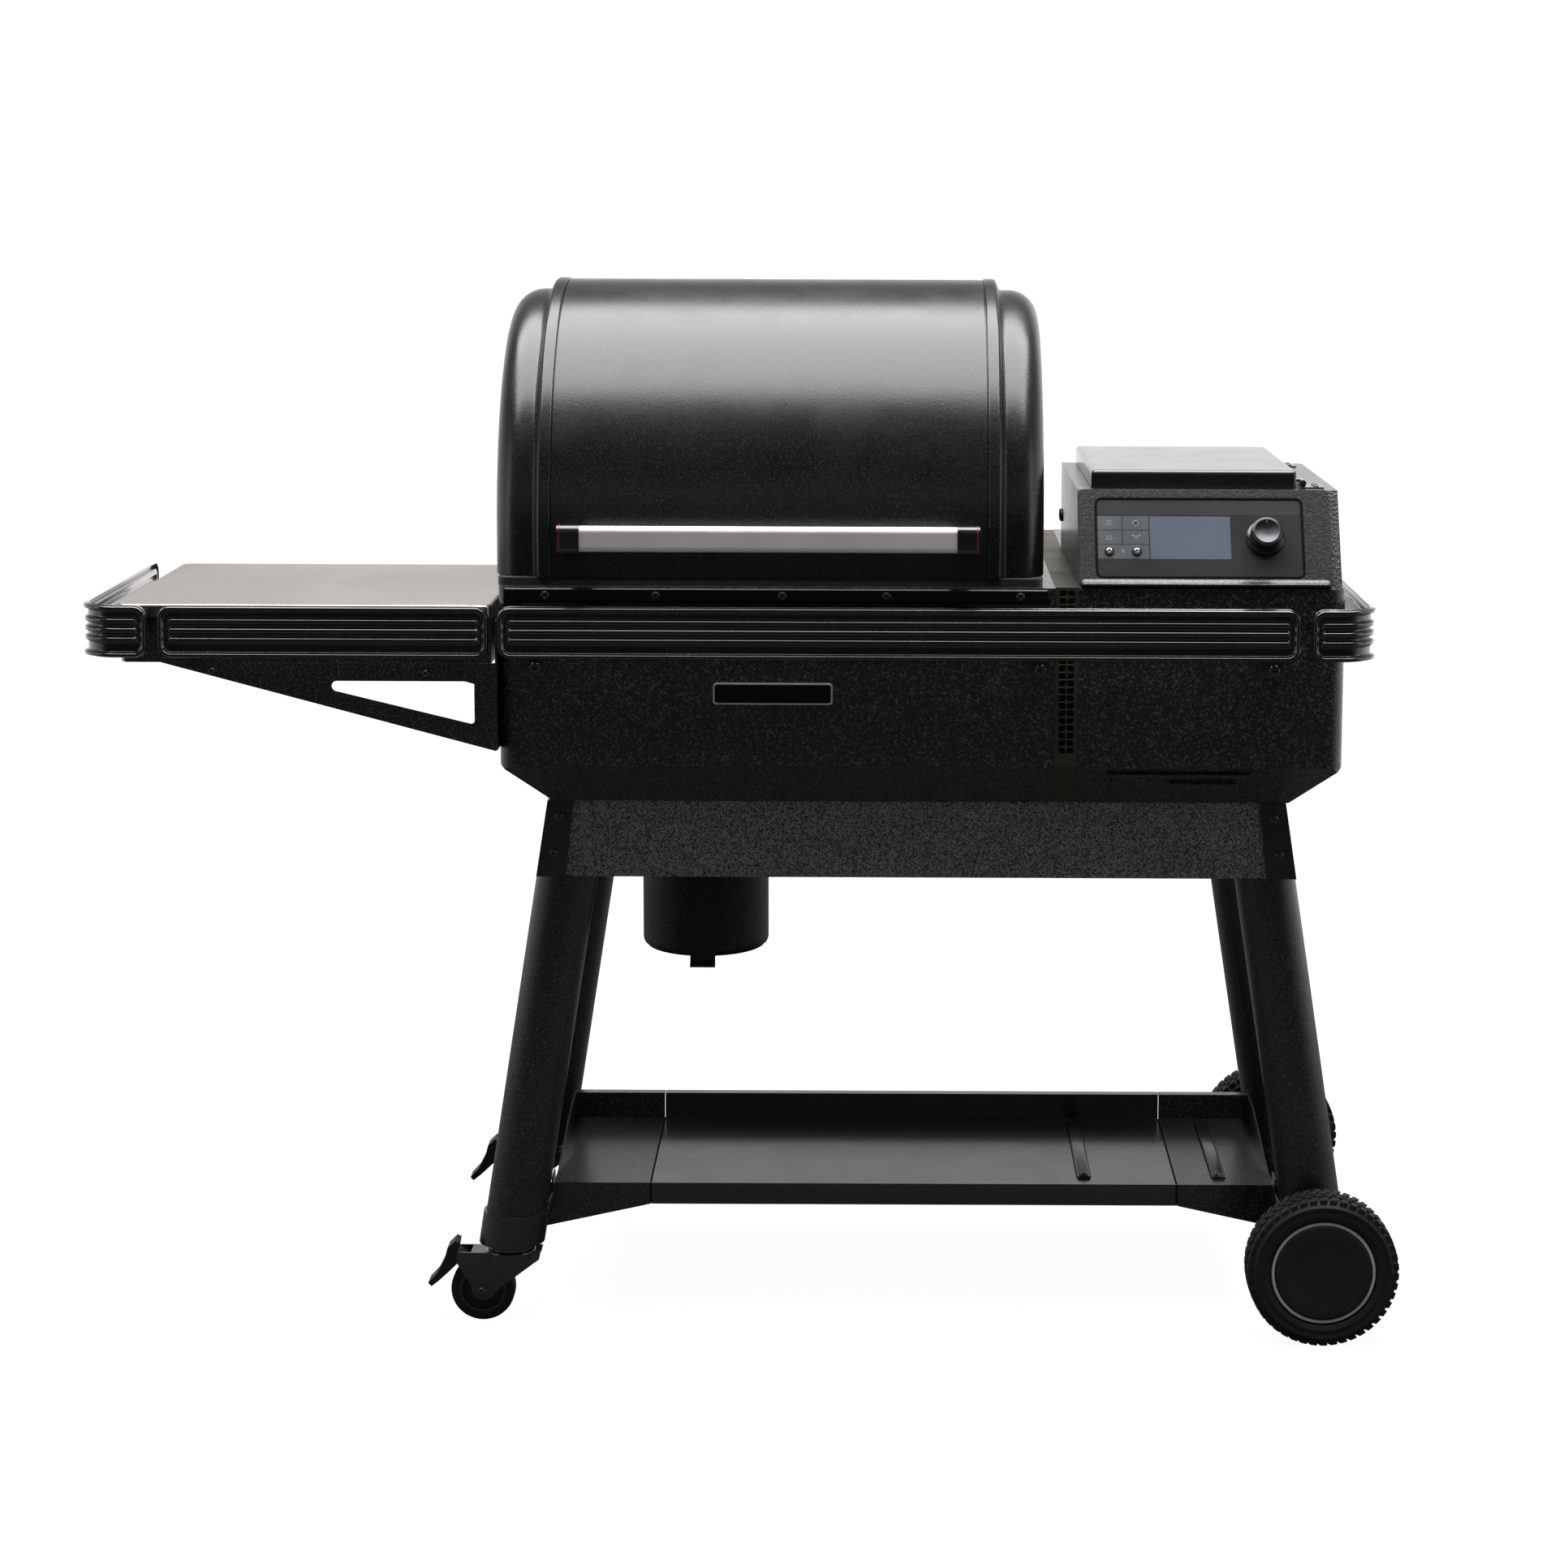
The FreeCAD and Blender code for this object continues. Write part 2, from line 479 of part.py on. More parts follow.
def corner_rail(x_front, x_side, y_end):
    """Rail that runs from a front end round one corner and back along the side."""
    d = 1 if x_side > x_front else -1
    back_x = x_side - d * RAIL_DEPTH
    cx, cy = back_x - d * RAIL_BEND_R, back_y + RAIL_BEND_R
    front = prism([V(x_front, back_y - o, z) for o, z in rail_section()], V(cx - x_front, 0, 0))
    side = prism([V(back_x + d * o, cy, z) for o, z in rail_section()], V(0, y_end - cy, 0))
    face = Part.Face(Part.makePolygon([V(cx, back_y - o, z) for o, z in rail_section() + rail_section()[:1]]))
    bend = face.revolve(V(cx, cy, 0), Z, 90 * d)
    stop = box(sorted((x_front, x_front + d * 7)), (RAIL_FRONT_Y, back_y), RAIL_Z)
    tail = box(sorted((back_x, x_side)), (y_end - 7, y_end), RAIL_Z)
    return fuse([front, side, bend, stop, tail])


save("front_rail", straight_rail((-279.0, 616.5)))
save("shelf_rail", straight_rail((-657.0, -288.0)))
save("right_rail", corner_rail(628.5, 704.0, 60.0))
save("left_rail", corner_rail(-668.0, -746.0, 68.0))
brackets = []
for x in (-239.0, 326.0, 586.0):
    plate = box((x - 13, x + 13), (BODY_Y[0] - 2, BODY_Y[0]), (792, 858))
    brackets.append(plate.fuse(box((x - 13, x + 13), (back_y, BODY_Y[0] - 2), (818, 821))))
for x in (-620.0, -330.0):
    brackets.append(box((x - 13, x + 13), (back_y, SHELF_Y[0] + 4), (818, 821)))
for y in (-150.0, 30.0):
    brackets.append(box((-739.0, SHELF_X[0] + 4), (y - 13, y + 13), (818, 821)))
    brackets.append(box((HOPPER_X[1], 697.0), (y - 13, y + 13), (818, 821)))
save("rail_brackets", *brackets)

# ---------------------------------------------------------------- side shelf
top = rounded(box(SHELF_X, SHELF_Y, (849.0, SHELF_Z)), Z, 12)
top = top.makeFillet(3.0, [e for e in top.Edges if all(v.Point.z > SHELF_Z - 1 for v in e.Vertexes)])
top = top.cut(rounded(box((SHELF_X[0] + 1.5, SHELF_X[1] - 1.5), (SHELF_Y[0] + 1.5, SHELF_Y[1] - 1.5),
                          (848, SHELF_Z - 1.5)), Z, 10.5))
save("shelf_top", top)
pan_x, pan_y = (SHELF_X[0] + 4, SHELF_X[1]), (SHELF_Y[0] + 4, SHELF_Y[1] - 4)
pan = rounded(box(pan_x, pan_y, (797, 848.8)), Z, 9, lambda p: p.x < -600)
pan = pan.cut(box((pan_x[0] + 1.8, pan_x[1] - 1.8), (pan_y[0] + 1.8, pan_y[1] - 1.8), (796, 847)))
save("shelf_pan", pan)
outline = [(-659.6, 797), (-284, 697.2), (-284, 797)]
window = prism_y([(-512, 776.4), (-307.5, 776.4), (-307.5, 727)], (-400, 200))
window = rounded(window, Y, 6.0, lambda p: p.x < -500)
window = rounded(window, Y, 4.0, lambda p: p.x > -310)
gussets = []
for y in (pan_y[0], pan_y[1] - 2.5):
    gusset = prism_y(outline, (y, y + 2.5)).cut(window)
    flange = box((-284, -282), (y, y + 50) if y < 0 else (y - 47.5, y + 2.5), (698, 845))
    gussets.append(gusset.fuse(flange))
save("shelf_brackets", *gussets)


# ---------------------------------------------------------------- cart
def leg_x(z, side):
    return CART_X + side * (LEG_HALF + LEG_SLOPE * (LEG_REF_Z - z))


def slant(side, y, r, z):
    """Solid round bar along a leg's axis between two heights, ends level."""
    low, high = V(leg_x(-50, side), y, -50), V(leg_x(750, side), y, 750)
    bar = cyl(low, high - low, r, (high - low).Length)
    mid = leg_x(0.5 * (z[0] + z[1]), side)
    return bar.common(box((mid - 220, mid + 220), (y - 100, y + 100), z))


def leg(side, y, low):
    return slant(side, y, LEG_R, (low, 626)).cut(slant(side, y, LEG_R - 2, (low - 5, 640)))


save("left_legs", *[leg(-1, y, 98.0) for y in (-LEG_Y, LEG_Y)])
save("right_legs", *[leg(1, y, 62.0).cut(cyl(V(WHEEL_X, y - 60, WHEEL_R), Y, 8.3,
                                             120)) for y in (-LEG_Y, LEG_Y)])

half_low, half_high = APRON_HALF
long_xz = [(CART_X - half_low, APRON_Z[0]), (CART_X + half_low, APRON_Z[0]),
           (CART_X + half_high, APRON_Z[1]), (CART_X - half_high, APRON_Z[1])]
panels = [prism_y(long_xz, (-APRON_Y, -APRON_Y + SHEET)), prism_y(long_xz, (APRON_Y - SHEET, APRON_Y))]
end_xz = [(CART_X - half_low, APRON_Z[0]), (CART_X - half_low + SHEET, APRON_Z[0]),
          (CART_X - half_high + SHEET, APRON_Z[1]), (CART_X - half_high, APRON_Z[1])]
end_panel = prism_y(end_xz, (-186, 186))
panels += [end_panel, mirror_x(end_panel, CART_X)]
save("apron_panels", *panels)
top_z = APRON_Z[1] - 1
half_top = half_low + (half_high - half_low) * (top_z - APRON_Z[0]) / (APRON_Z[1] - APRON_Z[0])
wrap_front = prism_y([(CART_X - half_low - 2, APRON_Z[0]), (CART_X - half_low + 32, APRON_Z[0]),
                      (CART_X - half_top + 28, top_z), (CART_X - half_top - 2, top_z)],
                     (-APRON_Y - 2, -APRON_Y))
wrap_side = prism_y([(CART_X - half_low - 2, APRON_Z[0]), (CART_X - half_low, APRON_Z[0]),
                     (CART_X - half_top, top_z), (CART_X - half_top - 2, top_z)],
                    (-APRON_Y - 2, -APRON_Y + 19))
corner = wrap_front.fuse(wrap_side).removeSplitter()
corners = [corner, mirror_x(corner, CART_X)]
save("leg_brackets", *(corners + [mirror_y(c) for c in corners]))


def caster_parts(y):
    """Foot collar, swivel fork, wheel and brake lever of one caster."""
    hub = V(CASTER_X - CASTER_TRAIL, y, CASTER_R)
    collar = slant(-1, y, 38.0, (95.0, 133.0)).cut(slant(-1, y, LEG_R + 0.1, (98.0, 140.0)))
    collar = collar.fuse(cyl(V(CASTER_X, y, 70.5), Z, 6.0, 25)).removeSplitter()
    head = cyl(V(CASTER_X, y, 76.0), Z, 29.0, 10.5)
    head = head.makeFillet(3.0, [e for e in head.Edges if isinstance(e.Curve,
                                                                     Part.Circle) and e.Curve.Center.z > 80])
    cheek_xz = [(CASTER_X + 36, 84), (CASTER_X + 34, 76), (hub.x + 22, 42), (hub.x + 11, 29),
                (hub.x, 26), (hub.x - 10, 30),
                (hub.x - 14, 46), (hub.x - 30, 72), (hub.x - 30, 84)]
    cheeks = [prism_y(cheek_xz, (y + a, y + a + 2.5)) for a in (-16.5, 14.0)]
    roof = box((hub.x - 13, CASTER_X - 10), (y - 16.5, y + 16.5), (81.5, 84))
    axle = cyl(hub - V(0, 16.5, 0), Y, 4.0, 33)
    stub = [cyl(hub - V(0, 19.5, 0), Y, 6.5, 3), cyl(hub + V(0, 16.5, 0), Y, 6.5, 3)]
    pin = cyl(V(hub.x - 24, y - 16.5, 77), Y, 2.5, 33)
    bearing = cyl(V(CASTER_X, y, 86.0), Z, 25.0, 6)
    fork = fuse([head, bearing, roof, axle, pin] + cheeks + stub).cut(cyl(V(CASTER_X, y, 60), Z, 6.06, 40))
    wheel = cyl(hub - V(0, CASTER_WIDTH / 2, 0), Y, CASTER_R, CASTER_WIDTH)
    wheel = wheel.makeFillet(4.0, [e for e in wheel.Edges if isinstance(e.Curve, Part.Circle)])
    groove = [cyl(hub + V(0, a, 0), Y, 26.0, 3).cut(cyl(hub + V(0, a - 1, 0), Y, 12.0,
                                                        5)) for a in (-11.5, 8.5)]
    wheel = cut(wheel, groove + [cyl(hub - V(0, 20, 0), Y, 4.06, 40)])
    px = hub.x - 24
    lever_xz = [(px + 5, 73.5), (px + 5, 80), (px - 5, 84), (px - 3, 95), (px - 8, 97), (px - 17, 88),
                (px - 20, 76),
                (px - 29, 58), (px - 40, 46), (px - 36, 42), (px - 27, 49), (px - 14, 61), (px - 4, 71)]
    lever = prism_y(lever_xz, (y - 13.5, y + 13.5))
    lever = lever.cut(cyl(V(px, y - 20, 77), Y, 2.56, 40))
    return collar, fork, wheel, lever


collars = []
for y, end in ((-LEG_Y, "front"), (LEG_Y, "rear")):
    collar, fork, wheel, lever = caster_parts(y)
    collars.append(collar)
    save(end + "_caster_fork", fork)
    save(end + "_caster_wheel", wheel)
    save(end + "_caster_brake", lever)
save("foot_collars", *collars)

# big wheels, outboard of the right legs
outer_y = -301.0
tyre = cyl(V(WHEEL_X, outer_y, WHEEL_R), Y, WHEEL_R, WHEEL_WIDTH)
tyre = tyre.makeFillet(9.0, [e for e in tyre.Edges if isinstance(e.Curve, Part.Circle)])
tyre = tyre.cut(cyl(V(WHEEL_X, outer_y - 5, WHEEL_R), Y, HUB_R + 0.2, 70))
disc = cyl(V(WHEEL_X, outer_y + 6, WHEEL_R), Y, HUB_R, 6)
face = cyl(V(WHEEL_X, outer_y + 3, WHEEL_R), Y, 55.0, 5)
face = face.makeFillet(2.0, [e for e in face.Edges if isinstance(e.Curve,
                                                                 Part.Circle) and e.Curve.Center.y < outer_y + 4])
ring = cyl(V(WHEEL_X, outer_y + 4.2, WHEEL_R), Y, 60.2, 3).cut(cyl(V(WHEEL_X, outer_y, WHEEL_R), Y, 56.3, 10))
rim = cyl(V(WHEEL_X, outer_y + 6, WHEEL_R), Y, HUB_R, 38).cut(cyl(V(WHEEL_X, outer_y + 12, WHEEL_R), Y,
                                                                  HUB_R - 4, 40))
boss = cyl(V(WHEEL_X, outer_y + 6, WHEEL_R), Y, 16.0, 40)
spokes = [box((WHEEL_X - 2, WHEEL_X + 2), (outer_y + 10, outer_y + 40), (WHEEL_R + 14, WHEEL_R + HUB_R - 3))]
for k in range(1, 6):
    s = spokes[0].copy()
    s.rotate(V(WHEEL_X, 0, WHEEL_R), Y, 60 * k)
    spokes.append(s)
hub = fuse([disc, face, ring, rim, boss] + spokes).cut(cyl(V(WHEEL_X, outer_y + 14, WHEEL_R), Y, 8.05, 60))
axle = cyl(V(WHEEL_X, outer_y + 15, WHEEL_R), Y, 8.0, 125)
axle = axle.fuse(cyl(V(WHEEL_X, -172.0, WHEEL_R), Y, 13.0, 8)).fuse(cyl(V(WHEEL_X, -249.0, WHEEL_R), Y,
                                                                        13.0, 4))
for end in ("front", "rear"):
    flip = (lambda s: s) if end == "front" else mirror_y
    save(end + "_tyre", flip(tyre))
    save(end + "_wheel_hub", flip(hub))

# bottom tray: middle sheet and two end pieces with gussets
ty0, ty1 = TRAY_Y
mid_x = (CART_X - TRAY_SEAM + 0.3, CART_X + TRAY_SEAM - 0.3)
floor_z = (TRAY_Z - 1.8, TRAY_Z)
middle = [box(mid_x, TRAY_Y, floor_z), box(mid_x, (ty0, ty0 + 1.8), (118.0, TRAY_Z)),
          box(mid_x, (ty1 - 1.8, ty1), (TRAY_Z - 1, TRAY_LIP)), box(mid_x, (ty1 - 1.8, ty1 + 12),
                                                                    (TRAY_LIP - 1.8, TRAY_LIP)),
          box((388, 403), (-118, 120), (TRAY_Z - 0.5, TRAY_Z + 2.5))]
save("tray_middle", fuse(middle))
end_x = (CART_X - TRAY_HALF, CART_X - TRAY_SEAM - 0.3)
gusset = prism_y([(end_x[0] - 14, TRAY_Z), (end_x[1], TRAY_Z), (end_x[1], 118), (end_x[1] - 6, 116.5),
                  (end_x[0] - 14, 89.5)], (ty0, ty0 + 1.8))
side_wall = prism_x([(ty0 + 40, TRAY_Z - 1), (ty1 - 60, TRAY_LIP), (ty1, TRAY_LIP), (ty1, TRAY_Z - 1)],
                    (end_x[0], end_x[0] + 1.8))
ears = []
for d, edge in ((-1, ty0 + 2), (1, ty1 - 2)):
    for far, low, high in ((171, 112, TRAY_Z + 16), (214, 134, 142)):
        ears.append(box((end_x[0], end_x[0] + 1.8), sorted((edge, d * far)), (low, high)))
tray_end = fuse([box(end_x, TRAY_Y, floor_z), gusset, side_wall,
                 box(end_x, (ty1 - 1.8, ty1), (TRAY_Z - 1, TRAY_LIP)),
                 box(end_x, (ty1 - 1.8, ty1 + 12), (TRAY_LIP - 1.8, TRAY_LIP))] + ears)
save("tray_left", tray_end)
save("tray_right", mirror_x(tray_end, CART_X).fuse(box((550, 565), (-118, 120),
                                                       (TRAY_Z - 0.5, TRAY_Z + 2.5))))

# ---------------------------------------------------------------- grease and ash keg
keg = cyl(V(POT_X, POT_Y, KEG_Z[0]), Z, KEG_R, KEG_Z[1] - KEG_Z[0])
keg = keg.makeFillet(12.0, [e for e in keg.Edges if isinstance(e.Curve,
                                                               Part.Circle) and e.Curve.Center.z < KEG_Z[0] + 1])
keg = keg.cut(cyl(V(POT_X, POT_Y, KEG_Z[0] + 2), Z, KEG_R - 2, KEG_Z[1] - KEG_Z[0]))
keg = keg.fuse(cyl(V(POT_X, POT_Y, KEG_Z[1] - 4), Z, KEG_R + 2,
                   2.5).cut(cyl(V(POT_X, POT_Y, KEG_Z[1] - 5), Z, KEG_R - 1, 5)))
strap_y = POT_Y - KEG_R
strap = fuse([box((POT_X - 15, POT_X + 15), (strap_y - 9, strap_y - 5), (400.5, 580)),
              box((POT_X - 15, POT_X + 15), (strap_y - 16, strap_y - 5), (398.5, 402.5)),
              box((POT_X - 12, POT_X + 12), (strap_y - 6, strap_y + 3.5), (560, 578)),
              box((POT_X - 12, POT_X + 12), (strap_y - 6, strap_y + 3.5), (430, 445))])
save("grease_keg", keg.fuse(strap.cut(cyl(V(POT_X, POT_Y, 380), Z, KEG_R - 1, 230))))
collar = cyl(V(POT_X, POT_Y, FLOOR_Z - 3), Z, 78.0, 3).fuse(cyl(V(POT_X, POT_Y, 588), Z, 45.0, 62))
save("keg_collar", collar.cut(cyl(V(POT_X, POT_Y, 580), Z, 43.0, 80)))

# ---------------------------------------------------------------- badge, button bolts and axle bolts
badge = rounded(box((-40, 94.5), (BODY_Y[0] - 1.5, BODY_Y[0]), (750, 774.5)), Y, 4)
save("badge_plate", badge)


def button(p, direction, r=5.0, h=3.0):
    head = cyl(p, direction, r, h)
    return head.makeFillet(1.4, [e for e in head.Edges if isinstance(e.Curve, Part.Circle)
                                 and (e.Curve.Center - p).dot(direction) > h - 0.5])


bolts = [button(V(x, BODY_Y[0], 873), -Y) for x in (-228, -104, 38, 155, 305)]
bolts += [button(V(x, BODY_Y[0] - 2, 801), -Y) for x in (-239, 326, 586)]
for z in (568.0, 611.0):
    for side in (-1, 1):
        x = CART_X + side * (half_low - 14 - 0.156 * (z - 540))
        bolts += [button(V(x, -APRON_Y - 2, z), -Y), button(V(x, APRON_Y + 2, z), Y)]
bolts += [button(V(x, pan_y[0], z), -Y, 4.0, 2.0) for x, z in ((-602, 787), (-362, 785))]
bolts += [button(V(LID_AXIS_X + 16, y + s, HEAD_TOP + 1.5), Z, 3.5, 1.6) for y in (-195,
                                                                                   70) for s in (-10, 10)]
save("fasteners", axle, mirror_y(axle), *bolts)
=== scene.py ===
"""Pellet smoker grill on a splayed-leg cart: finishes, detailed parts, studio and camera.

Lengths in this script are millimetres unless a name says otherwise. The design frame has Y = 0 midway
between the front and rear legs; at() turns one of its points into the shared frame in metres.
"""
import math

import bmesh
import bpy
from mathutils import Matrix, Vector


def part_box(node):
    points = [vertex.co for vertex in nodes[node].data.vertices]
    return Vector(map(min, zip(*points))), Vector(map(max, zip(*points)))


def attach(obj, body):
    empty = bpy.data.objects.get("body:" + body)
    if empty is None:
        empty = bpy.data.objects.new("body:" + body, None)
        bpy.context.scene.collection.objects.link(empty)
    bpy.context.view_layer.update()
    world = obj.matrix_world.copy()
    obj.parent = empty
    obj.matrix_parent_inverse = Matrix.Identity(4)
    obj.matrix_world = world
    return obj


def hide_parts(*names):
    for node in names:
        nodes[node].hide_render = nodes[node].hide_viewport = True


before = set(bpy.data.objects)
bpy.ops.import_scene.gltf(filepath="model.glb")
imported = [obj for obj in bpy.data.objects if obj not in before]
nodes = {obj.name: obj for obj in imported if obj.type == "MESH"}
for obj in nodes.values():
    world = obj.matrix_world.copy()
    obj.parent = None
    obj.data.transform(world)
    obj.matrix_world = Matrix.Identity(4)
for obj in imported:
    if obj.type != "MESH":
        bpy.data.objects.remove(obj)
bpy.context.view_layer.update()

MM = 0.001
X, Y, Z = Vector((1, 0, 0)), Vector((0, 1, 0)), Vector((0, 0, 1))


def corner_mm(node, which):
    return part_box(node)[which] * 1000.0


# centre of the hood's middle skin in the design frame
HOOD_X, HOOD_Y = 22.75, -11.0
SHIFT = 0.5 * (corner_mm("hood_skin", 0) + corner_mm("hood_skin", 1)) - Vector((HOOD_X, HOOD_Y, 0))
SHIFT.z = 0.0


def design(node, which):
    return corner_mm(node, which) - SHIFT


def at(x, y, z):
    return (Vector((x, y, z)) + SHIFT) * MM


# ---- materials
class Graph:
    """Small helper around the node tree of a material or a world."""

    def __init__(self, owner):
        owner.use_nodes = True
        self.tree = owner.node_tree

    def node(self, kind, inputs=None, **settings):
        made = self.tree.nodes.new(kind)
        for key, value in settings.items():
            setattr(made, key, value)
        for key, value in (inputs or {}).items():
            self.put(made.inputs[key], value)
        return made

    def put(self, socket, value):
        if isinstance(value, bpy.types.NodeSocket):
            self.tree.links.new(value, socket)
        elif isinstance(value, (tuple, list)) and len(value) == 3 and socket.type == "RGBA":
            socket.default_value = (*value, 1.0)
        else:
            socket.default_value = value

    def math(self, operation, a, b=0.0, clamp=False):
        return self.node("ShaderNodeMath", {0: a, 1: b}, operation=operation, use_clamp=clamp).outputs[0]

    def spread(self, value, low, high, to_low, to_high, **settings):
        made = self.node("ShaderNodeMapRange", {"Value": value, "From Min": low, "From Max": high,
                                                "To Min": to_low, "To Max": to_high}, **settings)
        return made.outputs["Result"]

    def noise(self, vector, scale, detail, **inputs):
        inputs.update(Vector=vector, Scale=scale, Detail=detail)
        return self.node("ShaderNodeTexNoise", inputs).outputs["Fac"]

    def mix(self, factor, a, b):
        made = self.node("ShaderNodeMix", data_type="RGBA")
        self.put(made.inputs["Factor"], factor)
        self.put(made.inputs[6], a)
        self.put(made.inputs[7], b)
        return made.outputs[2]


def scaled(colour, k):
    return tuple(min(1.0, c * k) for c in colour)


# dot product of the rounded and the flat normal where the lighter edge colour starts and where it is full:
# wear on most finishes, a painted highlight on bolt heads and wheel rings
EDGE_RUB_AND_HIGHLIGHT_START, EDGE_RUB_AND_HIGHLIGHT_FULL = 0.985, 0.86
FINE_SCALE, TINT_SCALE = 900.0, 2.3


def finish(name, colour, rough, metal=0.0, specular=0.35, grain=(), stretch=(1, 1, 1), mottle=(18.0, 0.12),
           rough_vary=0.06, edge=0.0009, edge_rub_and_highlight=1.5, edge_rub_and_highlight_amount=0.5, coat=0.0, coat_rough=0.15, aniso=0.0,
           sheen=0.0, speck=None, tint=None):
    """Procedural finish. grain is a list of (kind, scale, strength, depth in mm); kind is noise or cells.

    stretch squeezes the texture along an axis for brushed metal. edge is the radius in metres of the rounded
    edge whose colour edge_rub_and_highlight lightens: wear on most finishes, a painted highlight on bolt
    heads.
    mottle is (scale, amount) and speck is (scale, low, high, colour).
    """
    material = bpy.data.materials.new(name)
    g = Graph(material)
    s = g.tree.nodes["Principled BSDF"].inputs
    place = g.node("ShaderNodeTexCoord").outputs["Object"]
    squeezed = g.node("ShaderNodeMapping", {"Vector": place, "Scale": stretch}).outputs["Vector"]
    cloud = g.noise(place, mottle[0], 4.0)
    fine = g.noise(squeezed, FINE_SCALE, 2.0)

    rounded = g.node("ShaderNodeBevel", {"Radius": edge}, samples=4).outputs["Normal"]
    flat = g.node("ShaderNodeNewGeometry").outputs["Normal"]
    aligned = g.node("ShaderNodeVectorMath", {0: rounded, 1: flat}, operation="DOT_PRODUCT").outputs["Value"]
    on_edge = g.spread(aligned, EDGE_RUB_AND_HIGHLIGHT_START, EDGE_RUB_AND_HIGHLIGHT_FULL, 0.0, edge_rub_and_highlight_amount)

    shade = g.spread(cloud, 0.3, 0.7, 0.0, 1.0)
    body = g.mix(shade, scaled(colour, 1.0 - mottle[1]), scaled(colour, 1.0 + mottle[1]))
    if tint:
        far = g.noise(place, TINT_SCALE, 2.0)
        body = g.mix(g.spread(far, 0.35, 0.65, 0.0, 1.0), body, tint)
    if speck:
        dots = g.noise(place, speck[0], 1.0)
        body = g.mix(g.spread(dots, speck[1], speck[2], 0.0, 1.0), body, speck[3])
    # lighter edges: wear on most finishes, a painted highlight on the bolt heads and wheel rings
    body = g.mix(on_edge, body, scaled(colour, edge_rub_and_highlight))

    normal = rounded
    for kind, scale, strength, depth in grain:
        if kind == "cells":
            height = g.node("ShaderNodeTexVoronoi", {"Vector": squeezed, "Scale": scale, "Smoothness": 0.6},
                            feature="SMOOTH_F1").outputs["Distance"]
        else:
            height = g.noise(squeezed, scale, 2.5, Roughness=0.55)
        normal = g.node("ShaderNodeBump", {"Strength": strength, "Distance": depth * MM, "Height": height,
                                           "Normal": normal}).outputs["Normal"]

    rough_out = g.spread(cloud, 0.3, 0.7, rough - rough_vary, rough + rough_vary)
    grit = g.math("MULTIPLY", g.math("SUBTRACT", fine, 0.5), rough_vary)
    rough_out = g.math("ADD", rough_out, grit, clamp=True)
    g.put(s["Base Color"], body)
    g.put(s["Roughness"], rough_out)
    g.put(s["Normal"], normal)
    for key, value in (("Metallic", metal), ("Specular IOR Level", specular), ("Coat Weight", coat),
                       ("Coat Roughness", coat_rough), ("Anisotropic", aniso), ("Sheen Weight", sheen)):
        s[key].default_value = value
    return material


